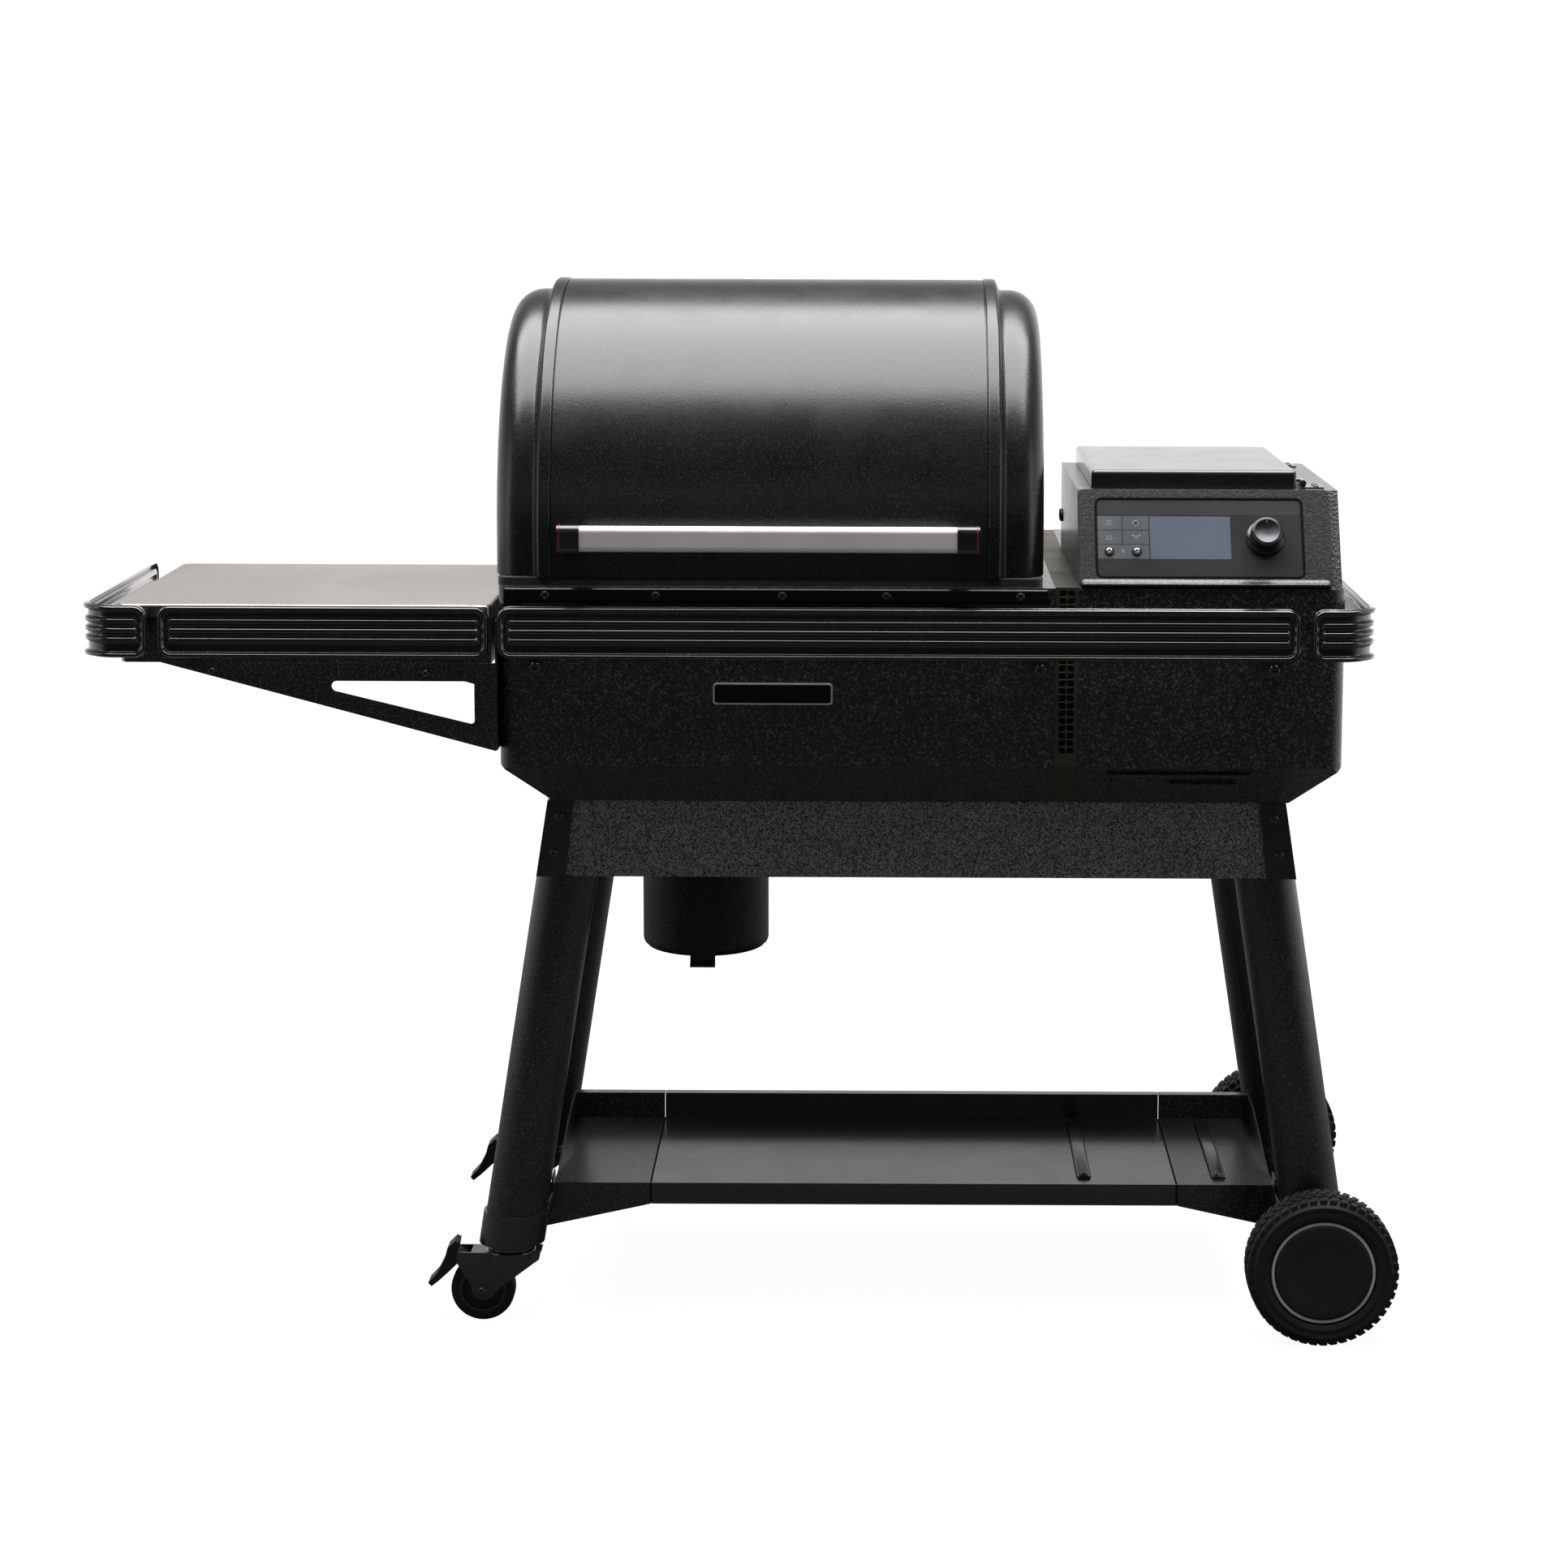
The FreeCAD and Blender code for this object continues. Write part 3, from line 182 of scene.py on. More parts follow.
FINISHES = {
    "hood_black": finish("hood_black_coat", (0.0042, 0.0041, 0.0041), 0.27, specular=0.5,
                         grain=[("noise", 420.0, 0.22, 0.5), ("noise", 1300.0, 0.12, 0.2)], rough_vary=0.03,
                         edge=0.0006, edge_rub_and_highlight=2.5, edge_rub_and_highlight_amount=0.35,
                         speck=(560.0, 0.54, 0.70, (0.023, 0.022, 0.023))),
    "textured_black": finish("textured_black_coat", (0.0042, 0.0040, 0.0046), 0.36, specular=0.36,
                             coat=0.7, coat_rough=0.22,
                             grain=[("noise", 330.0, 0.95, 1.7), ("noise", 820.0, 0.4, 0.4)],
                             rough_vary=0.05, edge_rub_and_highlight=3.0, speck=(430.0, 0.53, 0.68, (0.070, 0.068, 0.078))),
    "apron_charcoal": finish("apron_charcoal_coat", (0.0155, 0.0152, 0.0168), 0.46, specular=0.45,
                             grain=[("noise", 340.0, 1.0, 1.6), ("noise", 800.0, 0.5, 0.5)],
                             speck=(620.0, 0.38, 0.63, (0.27, 0.264, 0.29)), edge_rub_and_highlight=2.2),
    "satin_black": finish("satin_black_coat", (0.0055, 0.0055, 0.0056), 0.33, specular=0.4,
                          coat=0.8, coat_rough=0.16,
                          grain=[("noise", 900.0, 0.25, 0.2), ("noise", 2200.0, 0.2, 0.1)],
                          rough_vary=0.05, edge_rub_and_highlight=2.6, speck=(900.0, 0.60, 0.72, (0.035, 0.035, 0.036))),
    "leg_black": finish("leg_black_coat", (0.0046, 0.0045, 0.0047), 0.40, specular=0.34,
                        coat=0.35, coat_rough=0.22,
                        grain=[("noise", 700.0, 0.5, 0.6), ("noise", 1500.0, 0.3, 0.2)], edge_rub_and_highlight=2.6,
                        speck=(620.0, 0.55, 0.70, (0.065, 0.064, 0.066))),
    "rail_black": finish("rail_black_coat", (0.006, 0.0056, 0.0062), 0.22, specular=0.6,
                         coat=1.0, coat_rough=0.11,
                         grain=[("noise", 900.0, 0.12, 0.12), ("noise", 2200.0, 0.1, 0.05)], edge_rub_and_highlight=2.6,
                         edge=0.0006),
    "bezel_black": finish("bezel_black_coat", (0.0042, 0.0040, 0.0046), 0.52, specular=0.2,
                          coat=0.12, coat_rough=0.35,
                          grain=[("noise", 420.0, 0.7, 1.0), ("noise", 900.0, 0.4, 0.3)], edge_rub_and_highlight=3.0,
                          speck=(520.0, 0.50, 0.68, (0.035, 0.035, 0.04))),
    "gloss_black": finish("gloss_black_enamel", (0.0035, 0.0035, 0.0035), 0.12, specular=0.4, coat=0.3,
                          grain=[("noise", 240.0, 0.06, 0.2)], rough_vary=0.03, edge_rub_and_highlight=2.0),
    "dark_bronze": finish("dark_bronze_paint", (0.040, 0.0355, 0.0235), 0.42, metal=0.15, specular=0.4,
                          grain=[("noise", 1100.0, 0.2, 0.2)], edge_rub_and_highlight=2.4),
    "stainless": finish("brushed_stainless", (0.38, 0.361, 0.348), 0.27, metal=1.0, aniso=0.35,
                        stretch=(0.02, 1.0, 1.0), grain=[("noise", 1500.0, 0.04, 0.06)], mottle=(7.0, 0.02),
                        rough_vary=0.02, edge_rub_and_highlight=1.2, edge_rub_and_highlight_amount=0.6),
    "handle_steel": finish("handle_brushed_steel", (0.84, 0.77, 0.80), 0.46, metal=0.5, aniso=0.4,
                           stretch=(0.02, 1.0, 1.0), grain=[("noise", 1800.0, 0.08, 0.08)],
                           mottle=(12.0, 0.04), rough_vary=0.06, edge_rub_and_highlight=1.4, edge=0.0012),
    "galvanised": finish("galvanised_sheet", (0.42, 0.43, 0.44), 0.42, metal=1.0,
                         grain=[("cells", 60.0, 0.15, 0.3)], mottle=(70.0, 0.2), rough_vary=0.1),
    "porcelain": finish("porcelain_enamel", (0.008, 0.008, 0.009), 0.2, specular=0.5, coat=0.4,
                        grain=[("noise", 300.0, 0.12, 0.3)], speck=(700.0, 0.68, 0.74, (0.09, 0.09, 0.1))),
    "black_steel": finish("heat_black_steel", (0.022, 0.021, 0.021), 0.5, metal=0.4,
                          grain=[("noise", 500.0, 0.3, 0.3)], tint=(0.03, 0.022, 0.017), mottle=(30.0, 0.3)),
    "black_plastic": finish("black_moulded_plastic", (0.0075, 0.0075, 0.008), 0.42, specular=0.4,
                            grain=[("noise", 1600.0, 0.3, 0.12)], edge_rub_and_highlight=1.8),
    "gloss_knob": finish("gloss_knob_plastic", (0.007, 0.007, 0.0075), 0.2, specular=0.5, coat=0.25,
                         grain=[("noise", 700.0, 0.05, 0.05)], rough_vary=0.03, edge_rub_and_highlight=2.0),
    "knob_face": finish("knob_dark_metal", (0.075, 0.075, 0.08), 0.34, metal=1.0, aniso=0.4,
                        grain=[("noise", 1500.0, 0.12, 0.05)], rough_vary=0.05, edge_rub_and_highlight=1.8, edge=0.0005),
    "panel_glass": finish("panel_dark_glass", (0.024, 0.0252, 0.0262), 0.09, specular=0.5, coat=0.5,
                          coat_rough=0.05, grain=[("noise", 60.0, 0.01, 0.1)], rough_vary=0.02, edge_rub_and_highlight=1.6,
                          edge=0.0004),
    "rubber_black": finish("rubber_black", (0.0088, 0.0089, 0.0093), 0.62, specular=0.3, sheen=0.02,
                           grain=[("noise", 900.0, 0.4, 0.25)], mottle=(40.0, 0.25), edge_rub_and_highlight=2.0),
    "caster_tread": finish("caster_tread_rubber", (0.0085, 0.0085, 0.0085), 0.5, specular=0.35,
                           grain=[("noise", 1100.0, 0.25, 0.15)], edge_rub_and_highlight=1.8),
    "felt": finish("grey_felt_rope", (0.016, 0.016, 0.016), 0.9, specular=0.1, sheen=0.3,
                   grain=[("noise", 1300.0, 0.9, 0.6)], mottle=(300.0, 0.4)),
    "badge_metal": finish("badge_brushed_metal", (0.72, 0.72, 0.73), 0.32, metal=0.45, aniso=0.4,
                          stretch=(0.03, 1.0, 1.0), grain=[("noise", 1400.0, 0.1, 0.06)], edge=0.0005,
                          edge_rub_and_highlight=2.0),
    # black oxide, with edges lightened up to nine times and fully mixed in: a painted highlight round bolt
    # heads and rings
    "bolt_black_painted_rim_highlight": finish("black_oxide_bolt_painted_rim_highlight", (0.012, 0.012, 0.012), 0.26, specular=0.6, coat=0.5,
                         grain=[("noise", 1500.0, 0.12, 0.04)], edge=0.0005, edge_rub_and_highlight=9.0, edge_rub_and_highlight_amount=1.0),
    "ring_grey": finish("hub_ring_grey", (0.50, 0.50, 0.51), 0.42, metal=0.1,
                        grain=[("noise", 1400.0, 0.15, 0.06)], edge=0.0004, edge_rub_and_highlight=1.6),
    "accent_red": finish("red_accent_ring", (0.25, 0.012, 0.008), 0.35, grain=[("noise", 1500.0, 0.1, 0.04)]),
    "screen": finish("display_film", (0.078, 0.090, 0.122), 0.22, specular=0.5, edge=0.0002,
                     grain=[("noise", 500.0, 0.02, 0.05)], mottle=(9.0, 0.1), rough_vary=0.02, edge_rub_and_highlight=1.0),
    "key_film": finish("key_field_film", (0.066, 0.072, 0.080), 0.3, specular=0.45, edge=0.0002,
                       grain=[("noise", 900.0, 0.05, 0.05)], mottle=(20.0, 0.08), edge_rub_and_highlight=1.0),
    "legend": finish("key_legend_ink", (0.20, 0.22, 0.24), 0.4, edge=0.0002,
                     grain=[("noise", 1600.0, 0.05, 0.03)], edge_rub_and_highlight=1.0),
    # lighter film for the top of the glass: a painted reflection of the overhead light
    "glass_painted_reflection": finish("glass_painted_reflection_band", (0.037, 0.037, 0.040), 0.12, specular=0.5, edge=0.0002,
                         grain=[("noise", 60.0, 0.01, 0.1)], mottle=(9.0, 0.08), edge_rub_and_highlight=1.0),
    # near-black matte: the sheet behind the vent lattice, and painted shade round the glass and on the tray's
    # seams and rib edges
    "near_black_backing_and_painted_shade": finish("near_black_backing_and_painted_shade_matte", (0.0012, 0.0012, 0.0012), 0.8, specular=0.1,
                        grain=[("noise", 2000.0, 0.6, 0.2)], edge_rub_and_highlight=1.0),
    "jack_steel": finish("probe_jack_steel", (0.6, 0.6, 0.6), 0.2, metal=1.0, edge=0.0002,
                         grain=[("noise", 1500.0, 0.05, 0.03)]),
}

CAD_FINISH = {
    "textured_black": "body_shell hopper_shell shelf_pan shelf_brackets cleanout_door "
                      "tray_left tray_right rail_brackets exhaust_duct keg_collar",
    "leg_black": "left_legs right_legs",
    "satin_black": "leg_brackets foot_collars hopper_lid lid_hinge_bases "
                   "tray_middle hood_hinge_bases hood_hinge_leaves handle_mounts",
    "apron_charcoal": "apron_panels",
    "hood_black": "hood_skin hood_end_left hood_end_right",
    "rail_black": "front_rail shelf_rail left_rail right_rail front_caster_fork rear_caster_fork",
    "bezel_black": "control_bezel grease_keg",
    "dark_bronze": "vent_column",
    "stainless": "shelf_top",
    "handle_steel": "handle_bar",
    "galvanised": "auger_motor auger_tube blower_housing hopper_bin hopper_grille",
    "black_steel": "fire_pot heat_baffle auger main_grate upper_rack",
    "porcelain": "drip_tray",
    "black_plastic": "blower_fan front_wheel_hub rear_wheel_hub front_caster_brake rear_caster_brake",
    "gloss_knob": "control_knob",
    "panel_glass": "control_glass",
    "rubber_black": "front_tyre rear_tyre",
    "caster_tread": "front_caster_wheel rear_caster_wheel",
    "felt": "hood_gasket",
    "badge_metal": "badge_plate",
    "bolt_black_painted_rim_highlight": "fasteners",
}
for finish_name, members in CAD_FINISH.items():
    for node in members.split():
        nodes[node].data.materials.clear()
        nodes[node].data.materials.append(FINISHES[finish_name])


# ---- mesh tools
def add_piece(name, bm, finish_name, body, replaces=(), sharp=40.0):
    """Turn a bmesh into a piece that rides on a body."""
    bmesh.ops.remove_doubles(bm, verts=bm.verts, dist=1e-6)
    bmesh.ops.recalc_face_normals(bm, faces=bm.faces)
    mesh = bpy.data.meshes.new(name)
    bm.to_mesh(mesh)
    bm.free()
    mesh.polygons.foreach_set("use_smooth", [True] * len(mesh.polygons))
    mesh.set_sharp_from_angle(angle=math.radians(sharp))
    obj = bpy.data.objects.new(name, mesh)
    bpy.context.scene.collection.objects.link(obj)
    mesh.materials.append(FINISHES[finish_name])
    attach(obj, body)
    if replaces:
        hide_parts(*replaces)


def loop_verts(bm, points):
    return [bm.verts.new(p) for p in points]


def skin(bm, rows, closed_rows=False, closed_cols=False):
    """Quads between successive rows of vertices."""
    count = len(rows)
    for i in range(count if closed_cols else count - 1):
        a, b = rows[i], rows[(i + 1) % count]
        n = len(a)
        for j in range(n if closed_rows else n - 1):
            k = (j + 1) % n
            bm.faces.new((a[j], a[k], b[k], b[j]))


def polar(centre, axis, side, radius, angle, height):
    """Point in metres at a radius, an angle from the side direction and a height along an axis, in mm."""
    other = axis.cross(side)
    return centre + ((side * math.cos(angle) + other * math.sin(angle)) * radius + axis * height) * MM


def turned_ring(bm, centre, axis, height, segments, radius_at):
    """Ring of vertices round an axis, with radius_at giving the radius at each angle."""
    side = axis.orthogonal().normalized()
    angles = [2 * math.pi * k / segments for k in range(segments)]
    return loop_verts(bm, [polar(centre, axis, side, radius_at(a), a, height) for a in angles])


def lathe(bm, profile, centre, axis, segments=64, shape=None):
    """Spin (radius, height) points in mm round an axis through a centre in metres."""
    axis = axis.normalized()
    rows = [turned_ring(bm, centre, axis, h, segments, lambda a, r=r: shape(r, a) if shape else r)
            for r, h in profile]
    skin(bm, rows, closed_rows=True)
    for ring, (r, h) in ((rows[0], profile[0]), (rows[-1], profile[-1])):
        if r > 1e-3:
            bm.faces.new(ring)
    return rows


def open_ends(bm):
    """Take away the end caps of a lathed tube."""
    for face in [f for f in bm.faces if len(f.verts) > 4]:
        bm.faces.remove(face)


def slab(bm, low, high, bevel=1.0, segments=2):
    """Box with rounded edges between two design-frame corners."""
    made = bmesh.ops.create_cube(bm, size=1.0)["verts"]
    a, b = at(*low), at(*high)
    for v in made:
        v.co = Vector([0.5 * (a[i] + b[i]) + v.co[i] * abs(b[i] - a[i]) for i in range(3)])
    edges = list(dict.fromkeys(e for v in made for e in v.link_edges))
    bmesh.ops.bevel(bm, geom=edges, offset=bevel * MM, segments=segments, affect="EDGES", profile=0.5)


def ring_outline(width, height, radius, steps=8):
    """Rounded rectangle centred on the origin, counter-clockwise."""
    points = []
    for cx, cy, first in ((1, 1, 0), (-1, 1, 90), (-1, -1, 180), (1, -1, 270)):
        for k in range(steps + 1):
            a = math.radians(first + 90.0 * k / steps)
            points.append((cx * (width / 2 - radius) + radius * math.cos(a),
                           cy * (height / 2 - radius) + radius * math.sin(a)))
    return points


def plate(bm, outline, origin, u, v, thickness, bevel=0.4):
    """Rounded flat plate: outline in mm on the u, v plane at origin, thickness along u x v."""
    n = u.cross(v).normalized()
    spots = [origin + (u * p + v * q) * MM for p, q in outline]
    centre = sum(spots, Vector()) / len(spots)
    rows = []
    for depth, pull in ((0.0, 0.0), (thickness - bevel, 0.0), (thickness - 0.3 * bevel, 0.3 * bevel),
                        (thickness, bevel)):
        rows.append(loop_verts(bm, [p + (centre - p).normalized() * pull * MM + n * depth * MM
                                    for p in spots]))
    skin(bm, rows, closed_rows=True)
    bm.faces.new(rows[0])
    bm.faces.new(rows[-1])


def arc(cx, cy, r, first, last, steps):
    return [(cx + r * math.cos(math.radians(first + (last - first) * k / steps)),
             cy + r * math.sin(math.radians(first + (last - first) * k / steps))) for k in range(steps + 1)]


# ---- hood
hood_x = (design("hood_end_left", 0).x, design("hood_end_right", 1).x)
seam_x = (design("hood_skin", 0).x, design("hood_skin", 1).x)
HOOD_R, HOOD_Z, HOOD_BOTTOM = 280.0, 936.0, corner_mm("hood_skin", 0).z
HEM, ARC_STEPS = 2, 72


def hood_ring(x, off):
    """Points of the hood outline at one X, offset outwards, from the front hem over to the rear hem."""
    r = HOOD_R + off
    upright = (HOOD_BOTTOM, HOOD_BOTTOM + HEM, 0.5 * (HOOD_BOTTOM + HOOD_Z))
    points = [at(x, HOOD_Y - r, z) for z in upright]
    for k in range(ARC_STEPS + 1):
        a = math.pi * (1 - k / ARC_STEPS)
        points.append(at(x, HOOD_Y + r * math.cos(a), HOOD_Z + r * math.sin(a)))
    return points + [at(x, HOOD_Y + r, z) for z in reversed(upright)]


# middle skin, with a rolled edge at each seam: distance in from the seam, offset of the surface
ROLLED_EDGE = ((0.7, -2.0), (0.7, -0.7), (1.2, -0.15), (2.2, 0.0))
section = [(seam_x[0] + d, off) for d, off in ROLLED_EDGE]
section += [(seam_x[0] + (seam_x[1] - seam_x[0]) * k / 6, 0.0) for k in range(1, 6)]
section += [(seam_x[1] - d, off) for d, off in reversed(ROLLED_EDGE)]
bm = bmesh.new()
rows = [loop_verts(bm, hood_ring(x, off)) for x, off in section]
skin(bm, rows, closed_cols=True)
for end in (0, -1):
    bm.faces.new([row[end] for row in rows])
add_piece("hood_middle_skin", bm, "hood_black", "hood", ["hood_skin"])

# end caps; both bands are distance outwards from the seam, offset, and lap 6 mm under the middle skin
SEAM_BAND = ([(-6.0, -2.05), (0.0, -2.05), (0.0, -1.2), (0.3, 0.6), (1.2, 1.2), (3.0, 1.3), (9.5, 1.3)]
             + arc(10.5, -3.7, 5.0, 88, 12, 7)
             + [(16.6, -6.6), (17.8, -9.4), (19.6, -11.3), (22.5, -12.0), (26.0, -12.0)])
INNER_BAND = [(-6.0, -3.4), (16.0, -4.0), (20.0, -14.0), (26.0, -14.0)]
END_ROUND, END_SHEET, END_DROP = 34.0, 2.0, 46.0

for side, name in ((-1, "left"), (1, "right")):
    seam, end = (seam_x[0], hood_x[0]) if side < 0 else (seam_x[1], hood_x[1])
    bm = bmesh.new()
    turn_x = abs(end - seam) - END_ROUND
    band = SEAM_BAND + arc(turn_x, -END_DROP, END_ROUND, 90, 0, 14)
    outer = [loop_verts(bm, hood_ring(seam + side * d, off)) for d, off in band]
    band = INNER_BAND + arc(turn_x, -END_DROP, END_ROUND - END_SHEET, 90, 0, 8)
    inner = [loop_verts(bm, hood_ring(seam + side * d, off)) for d, off in band]
    skin(bm, outer)
    skin(bm, inner)
    skin(bm, [outer[0], inner[0]])
    bm.faces.new(outer[-1])
    bm.faces.new(inner[-1])
    for e in (0, -1):
        bm.faces.new([row[e] for row in outer] + [row[e] for row in reversed(inner)])
    bm.faces.new([outer[-1][0], inner[-1][0], inner[-1][-1], outer[-1][-1]])
    add_piece("hood_" + name + "_end_cap", bm, "hood_black", "hood", ["hood_end_" + name],
              sharp=50)

# bolt on the right end of the hood
SIDE_BOLT = ((9.0, 0), (9.0, 1.2), (8.2, 2.0), (6.0, 2.2), (5.6, 2.6), (5.6, 5.4), (4.6, 6.8), (2.4, 7.4),
             (0.0, 7.5))
SIDE_BOLT_Y, SIDE_BOLT_Z = -20.0, 930.0
bm = bmesh.new()
lathe(bm, SIDE_BOLT, at(hood_x[1] - 0.5, SIDE_BOLT_Y, SIDE_BOLT_Z), X, 32)
add_piece("hood_side_bolt", bm, "bolt_black_painted_rim_highlight", "hood")

# ---- rails
RAIL_LOW, RAIL_HIGH = corner_mm("front_rail", 0).z - 4.0, corner_mm("front_rail", 1).z
RAIL_MID, RAIL_HALF = 0.5 * (RAIL_LOW + RAIL_HIGH), 0.5 * (RAIL_HIGH - RAIL_LOW)
RAIL_DEPTH, RAIL_CORNER, RAIL_BEND, RAIL_SHEET = 7.0, 15.0, 36.0, 2.2
# the bead round the rim, the floor inside it, and the three ribs: middles, rise, half width, slope, end gap
BEAD_WIDTH, BEAD_OUTER, BEAD_INNER, FLOOR_RISE = 7.4, 2.2, 2.6, 2.4
RIBS, RIB_RISE, RIB_HALF, RIB_SLOPE, RIB_GAP = (-9.2, 1.3, 11.8), 3.4, 4.4, 2.8, 7.5
RAIL_ROWS, END_ZONE, PLAIN_STEP = 84, 36.0, 45.0


def smooth(t):
    t = min(1.0, max(0.0, t))
    return t * t * (3 - 2 * t)


def rail_height(s, z, length):
    """Height of the pressed rail above its back at distance s along it and z from its middle line."""
    qx, qz = abs(s - length / 2) - (length / 2 - RAIL_CORNER), abs(z) - (RAIL_HALF - RAIL_CORNER)
    inside = RAIL_CORNER - (math.hypot(max(qx, 0), max(qz, 0)) + min(max(qx, qz), 0))
    outer, inner = smooth(inside / BEAD_OUTER), smooth((BEAD_WIDTH - inside) / BEAD_INNER)
    bead = outer if inside < BEAD_WIDTH * 0.5 else inner
    top = FLOOR_RISE + (RAIL_DEPTH - FLOOR_RISE) * bead if inside > 1.2 else RAIL_DEPTH * outer
    reach = length / 2 - BEAD_WIDTH - RIB_GAP
    ribs = 0.0
    for c in RIBS:
        away = math.hypot(max(abs(s - length / 2) - reach, 0), z - c)
        ribs = max(ribs, smooth((RIB_HALF - away) / RIB_SLOPE))
    return max(top, FLOOR_RISE + RIB_RISE * ribs) if inside > BEAD_WIDTH * 0.8 else top


def rail(name, path, cad):
    """Pressed sheet rail; path is a list of (distance, point on its back, outward direction)."""
    bm = bmesh.new()
    length = path[-1][0]
    even = [-1 + 2 * k / RAIL_ROWS for k in range(RAIL_ROWS + 1)]
    front_levels = [math.sin(math.pi * 0.5 * t) * 0.35 + 0.65 * t for t in even]
    back_levels = [-0.999] + front_levels[2:-2:2] + [0.999]
    front, back = [], []
    for s, point, out in path:
        near = min(s, length - s)
        half = RAIL_HALF
        if near < RAIL_CORNER:
            half = RAIL_HALF - RAIL_CORNER + math.sqrt(max(RAIL_CORNER ** 2 - (RAIL_CORNER - near) ** 2, 0))
        for rows, levels, drop in ((front, front_levels, 0.0), (back, back_levels, RAIL_SHEET)):
            rows.append(loop_verts(bm, [
                (point + out * max(0.0, rail_height(s, t * half, length) - drop)) * MM
                + Z * (RAIL_MID + t * half) * MM for t in levels]))
    skin(bm, front)
    skin(bm, back)
    skin(bm, [[row[0] for row in front], [row[0] for row in back]])
    skin(bm, [[row[-1] for row in front], [row[-1] for row in back]])
    for end in (0, -1):
        bm.faces.new(front[end] + list(reversed(back[end])))
    add_piece(name, bm, "rail_black", "cart", [cad], sharp=60)


def spaced(length, curve=None):
    """Distances along a rail: close together near its ends and round its bend."""
    near = [16.0 * (1 - math.cos(math.pi / 2 * k / 14)) for k in range(15)]
    near += [18.0, 20.5, 22, 23.5, 25, 27, 30, END_ZONE]
    marks = set(near) | {length - d for d in near}
    plain = length - 2 * END_ZONE
    count = max(1, round(plain / PLAIN_STEP))
    marks |= {END_ZONE + k * plain / count for k in range(count + 1)}
    if curve:
        marks |= {curve[0] + (curve[1] - curve[0]) * k / 16 for k in range(17)}
    ordered = sorted(m for m in marks if -1e-6 <= m <= length + 1e-6)
    kept = [ordered[0]]
    for m in ordered[1:]:
        if m - kept[-1] > 0.02:
            kept.append(m)
    kept[-1] = length
    return kept


def straight_rail(name, cad):
    low, high = corner_mm(cad, 0), corner_mm(cad, 1)
    path = [(s, Vector((low.x + s, high.y, 0)), -Y) for s in spaced(high.x - low.x)]
    rail(name, path, cad)


def corner_rail(name, cad):
    """Front run, quarter bend, side run towards the rear."""
    low, high = corner_mm(cad, 0), corner_mm(cad, 1)
    left = cad == "left_rail"
    d = -1.0 if left else 1.0
    start_x, side_x = (high.x, low.x) if left else (low.x, high.x)
    back_x, back_y = side_x - d * RAIL_DEPTH, low.y + RAIL_DEPTH
    centre = Vector((back_x - d * RAIL_BEND, back_y + RAIL_BEND, 0))
    run = abs(centre.x - start_x)
    curve = RAIL_BEND * math.pi / 2
    length = run + curve + (high.y - centre.y)
    path = []
    for s in spaced(length, (run, run + curve)):
        if s <= run:
            path.append((s, Vector((start_x + d * s, back_y, 0)), -Y))
        elif s <= run + curve:
            a = (s - run) / RAIL_BEND
            out = Vector((d * math.sin(a), -math.cos(a), 0))
            path.append((s, centre + out * RAIL_BEND, out))
        else:
            path.append((s, Vector((back_x, centre.y + s - run - curve, 0)), X * d))
    rail(name, path, cad)


straight_rail("front_accessory_rail", "front_rail")
straight_rail("shelf_accessory_rail", "shelf_rail")
corner_rail("left_corner_rail", "left_rail")
corner_rail("right_corner_rail", "right_rail")

# ---- bolts and axles
# face of the barrel, and the height where it bends into the skirt
BODY_FRONT, SKIRT_KNEE = -301.0, 679.0
SOCKET_SIDES = 24


def hexed(r, angle):
    """Radius of a hexagonal ring at an angle, for a flat-to-centre distance r."""
    turn = (angle + math.pi / 6) % (math.pi / 3) - math.pi / 6
    return r / math.cos(turn)


def button(bm, place, axis, r=5.0, h=3.0):
    """Button head with a hexagon socket."""
    axis = axis.normalized()
    outer = [(r, 0.0), (r, 0.25 * h), (0.94 * r, 0.55 * h), (0.80 * r, 0.84 * h), (0.58 * r, h),
             (0.50 * r, h)]
    last = lathe(bm, outer, place, axis, SOCKET_SIDES)[-1]
    bm.faces.remove(next(f for f in bm.faces if set(f.verts) == set(last)))
    for radius, depth in ((0.42 * r, h), (0.42 * r, 0.45 * h), (0.05 * r, 0.38 * h)):
        ring = turned_ring(bm, place, axis, depth, SOCKET_SIDES, lambda a, radius=radius: hexed(radius, a))
        skin(bm, [last, ring], closed_rows=True)
        last = ring
    bm.faces.new(last)


RIM_BOLTS_X, RIM_BOLTS_Z = (-228, -104, 38, 155, 305), 873
TABS_X, TAB_BOLTS_Z, TAB_FACE = (-240.0, 328.0, 591.0), 791.5, BODY_FRONT - 3.8
LEG_BOLTS_Z, LEG_BOLTS_Y, LEG_BOLTS_IN = (568.0, 611.0), 248.0, 14
APRON_LOW, APRON_SLOPE = 540, 0.156
SHELF_BOLTS, SHELF_BOLTS_Y = ((-602, 787), (-362, 785)), -311.0
LID_HINGES_X, LID_HINGES_Y, LID_HINGES_Z = 646.0, (-195, 70), 989.5
AXLE_Y, AXLE_Z = 176.0, 88.0
AXLE = ((0, -4), (11, -4), (13, -2.5), (13, 2.5), (11, 4), (8, 4), (8, 69), (13, 69), (13, 73), (8, 73),
        (8, 110), (0, 110))

apron = (design("apron_panels", 0).x, design("apron_panels", 1).x)
cart_x, apron_half = 0.5 * (apron[0] + apron[1]), 0.5 * (apron[1] - apron[0])
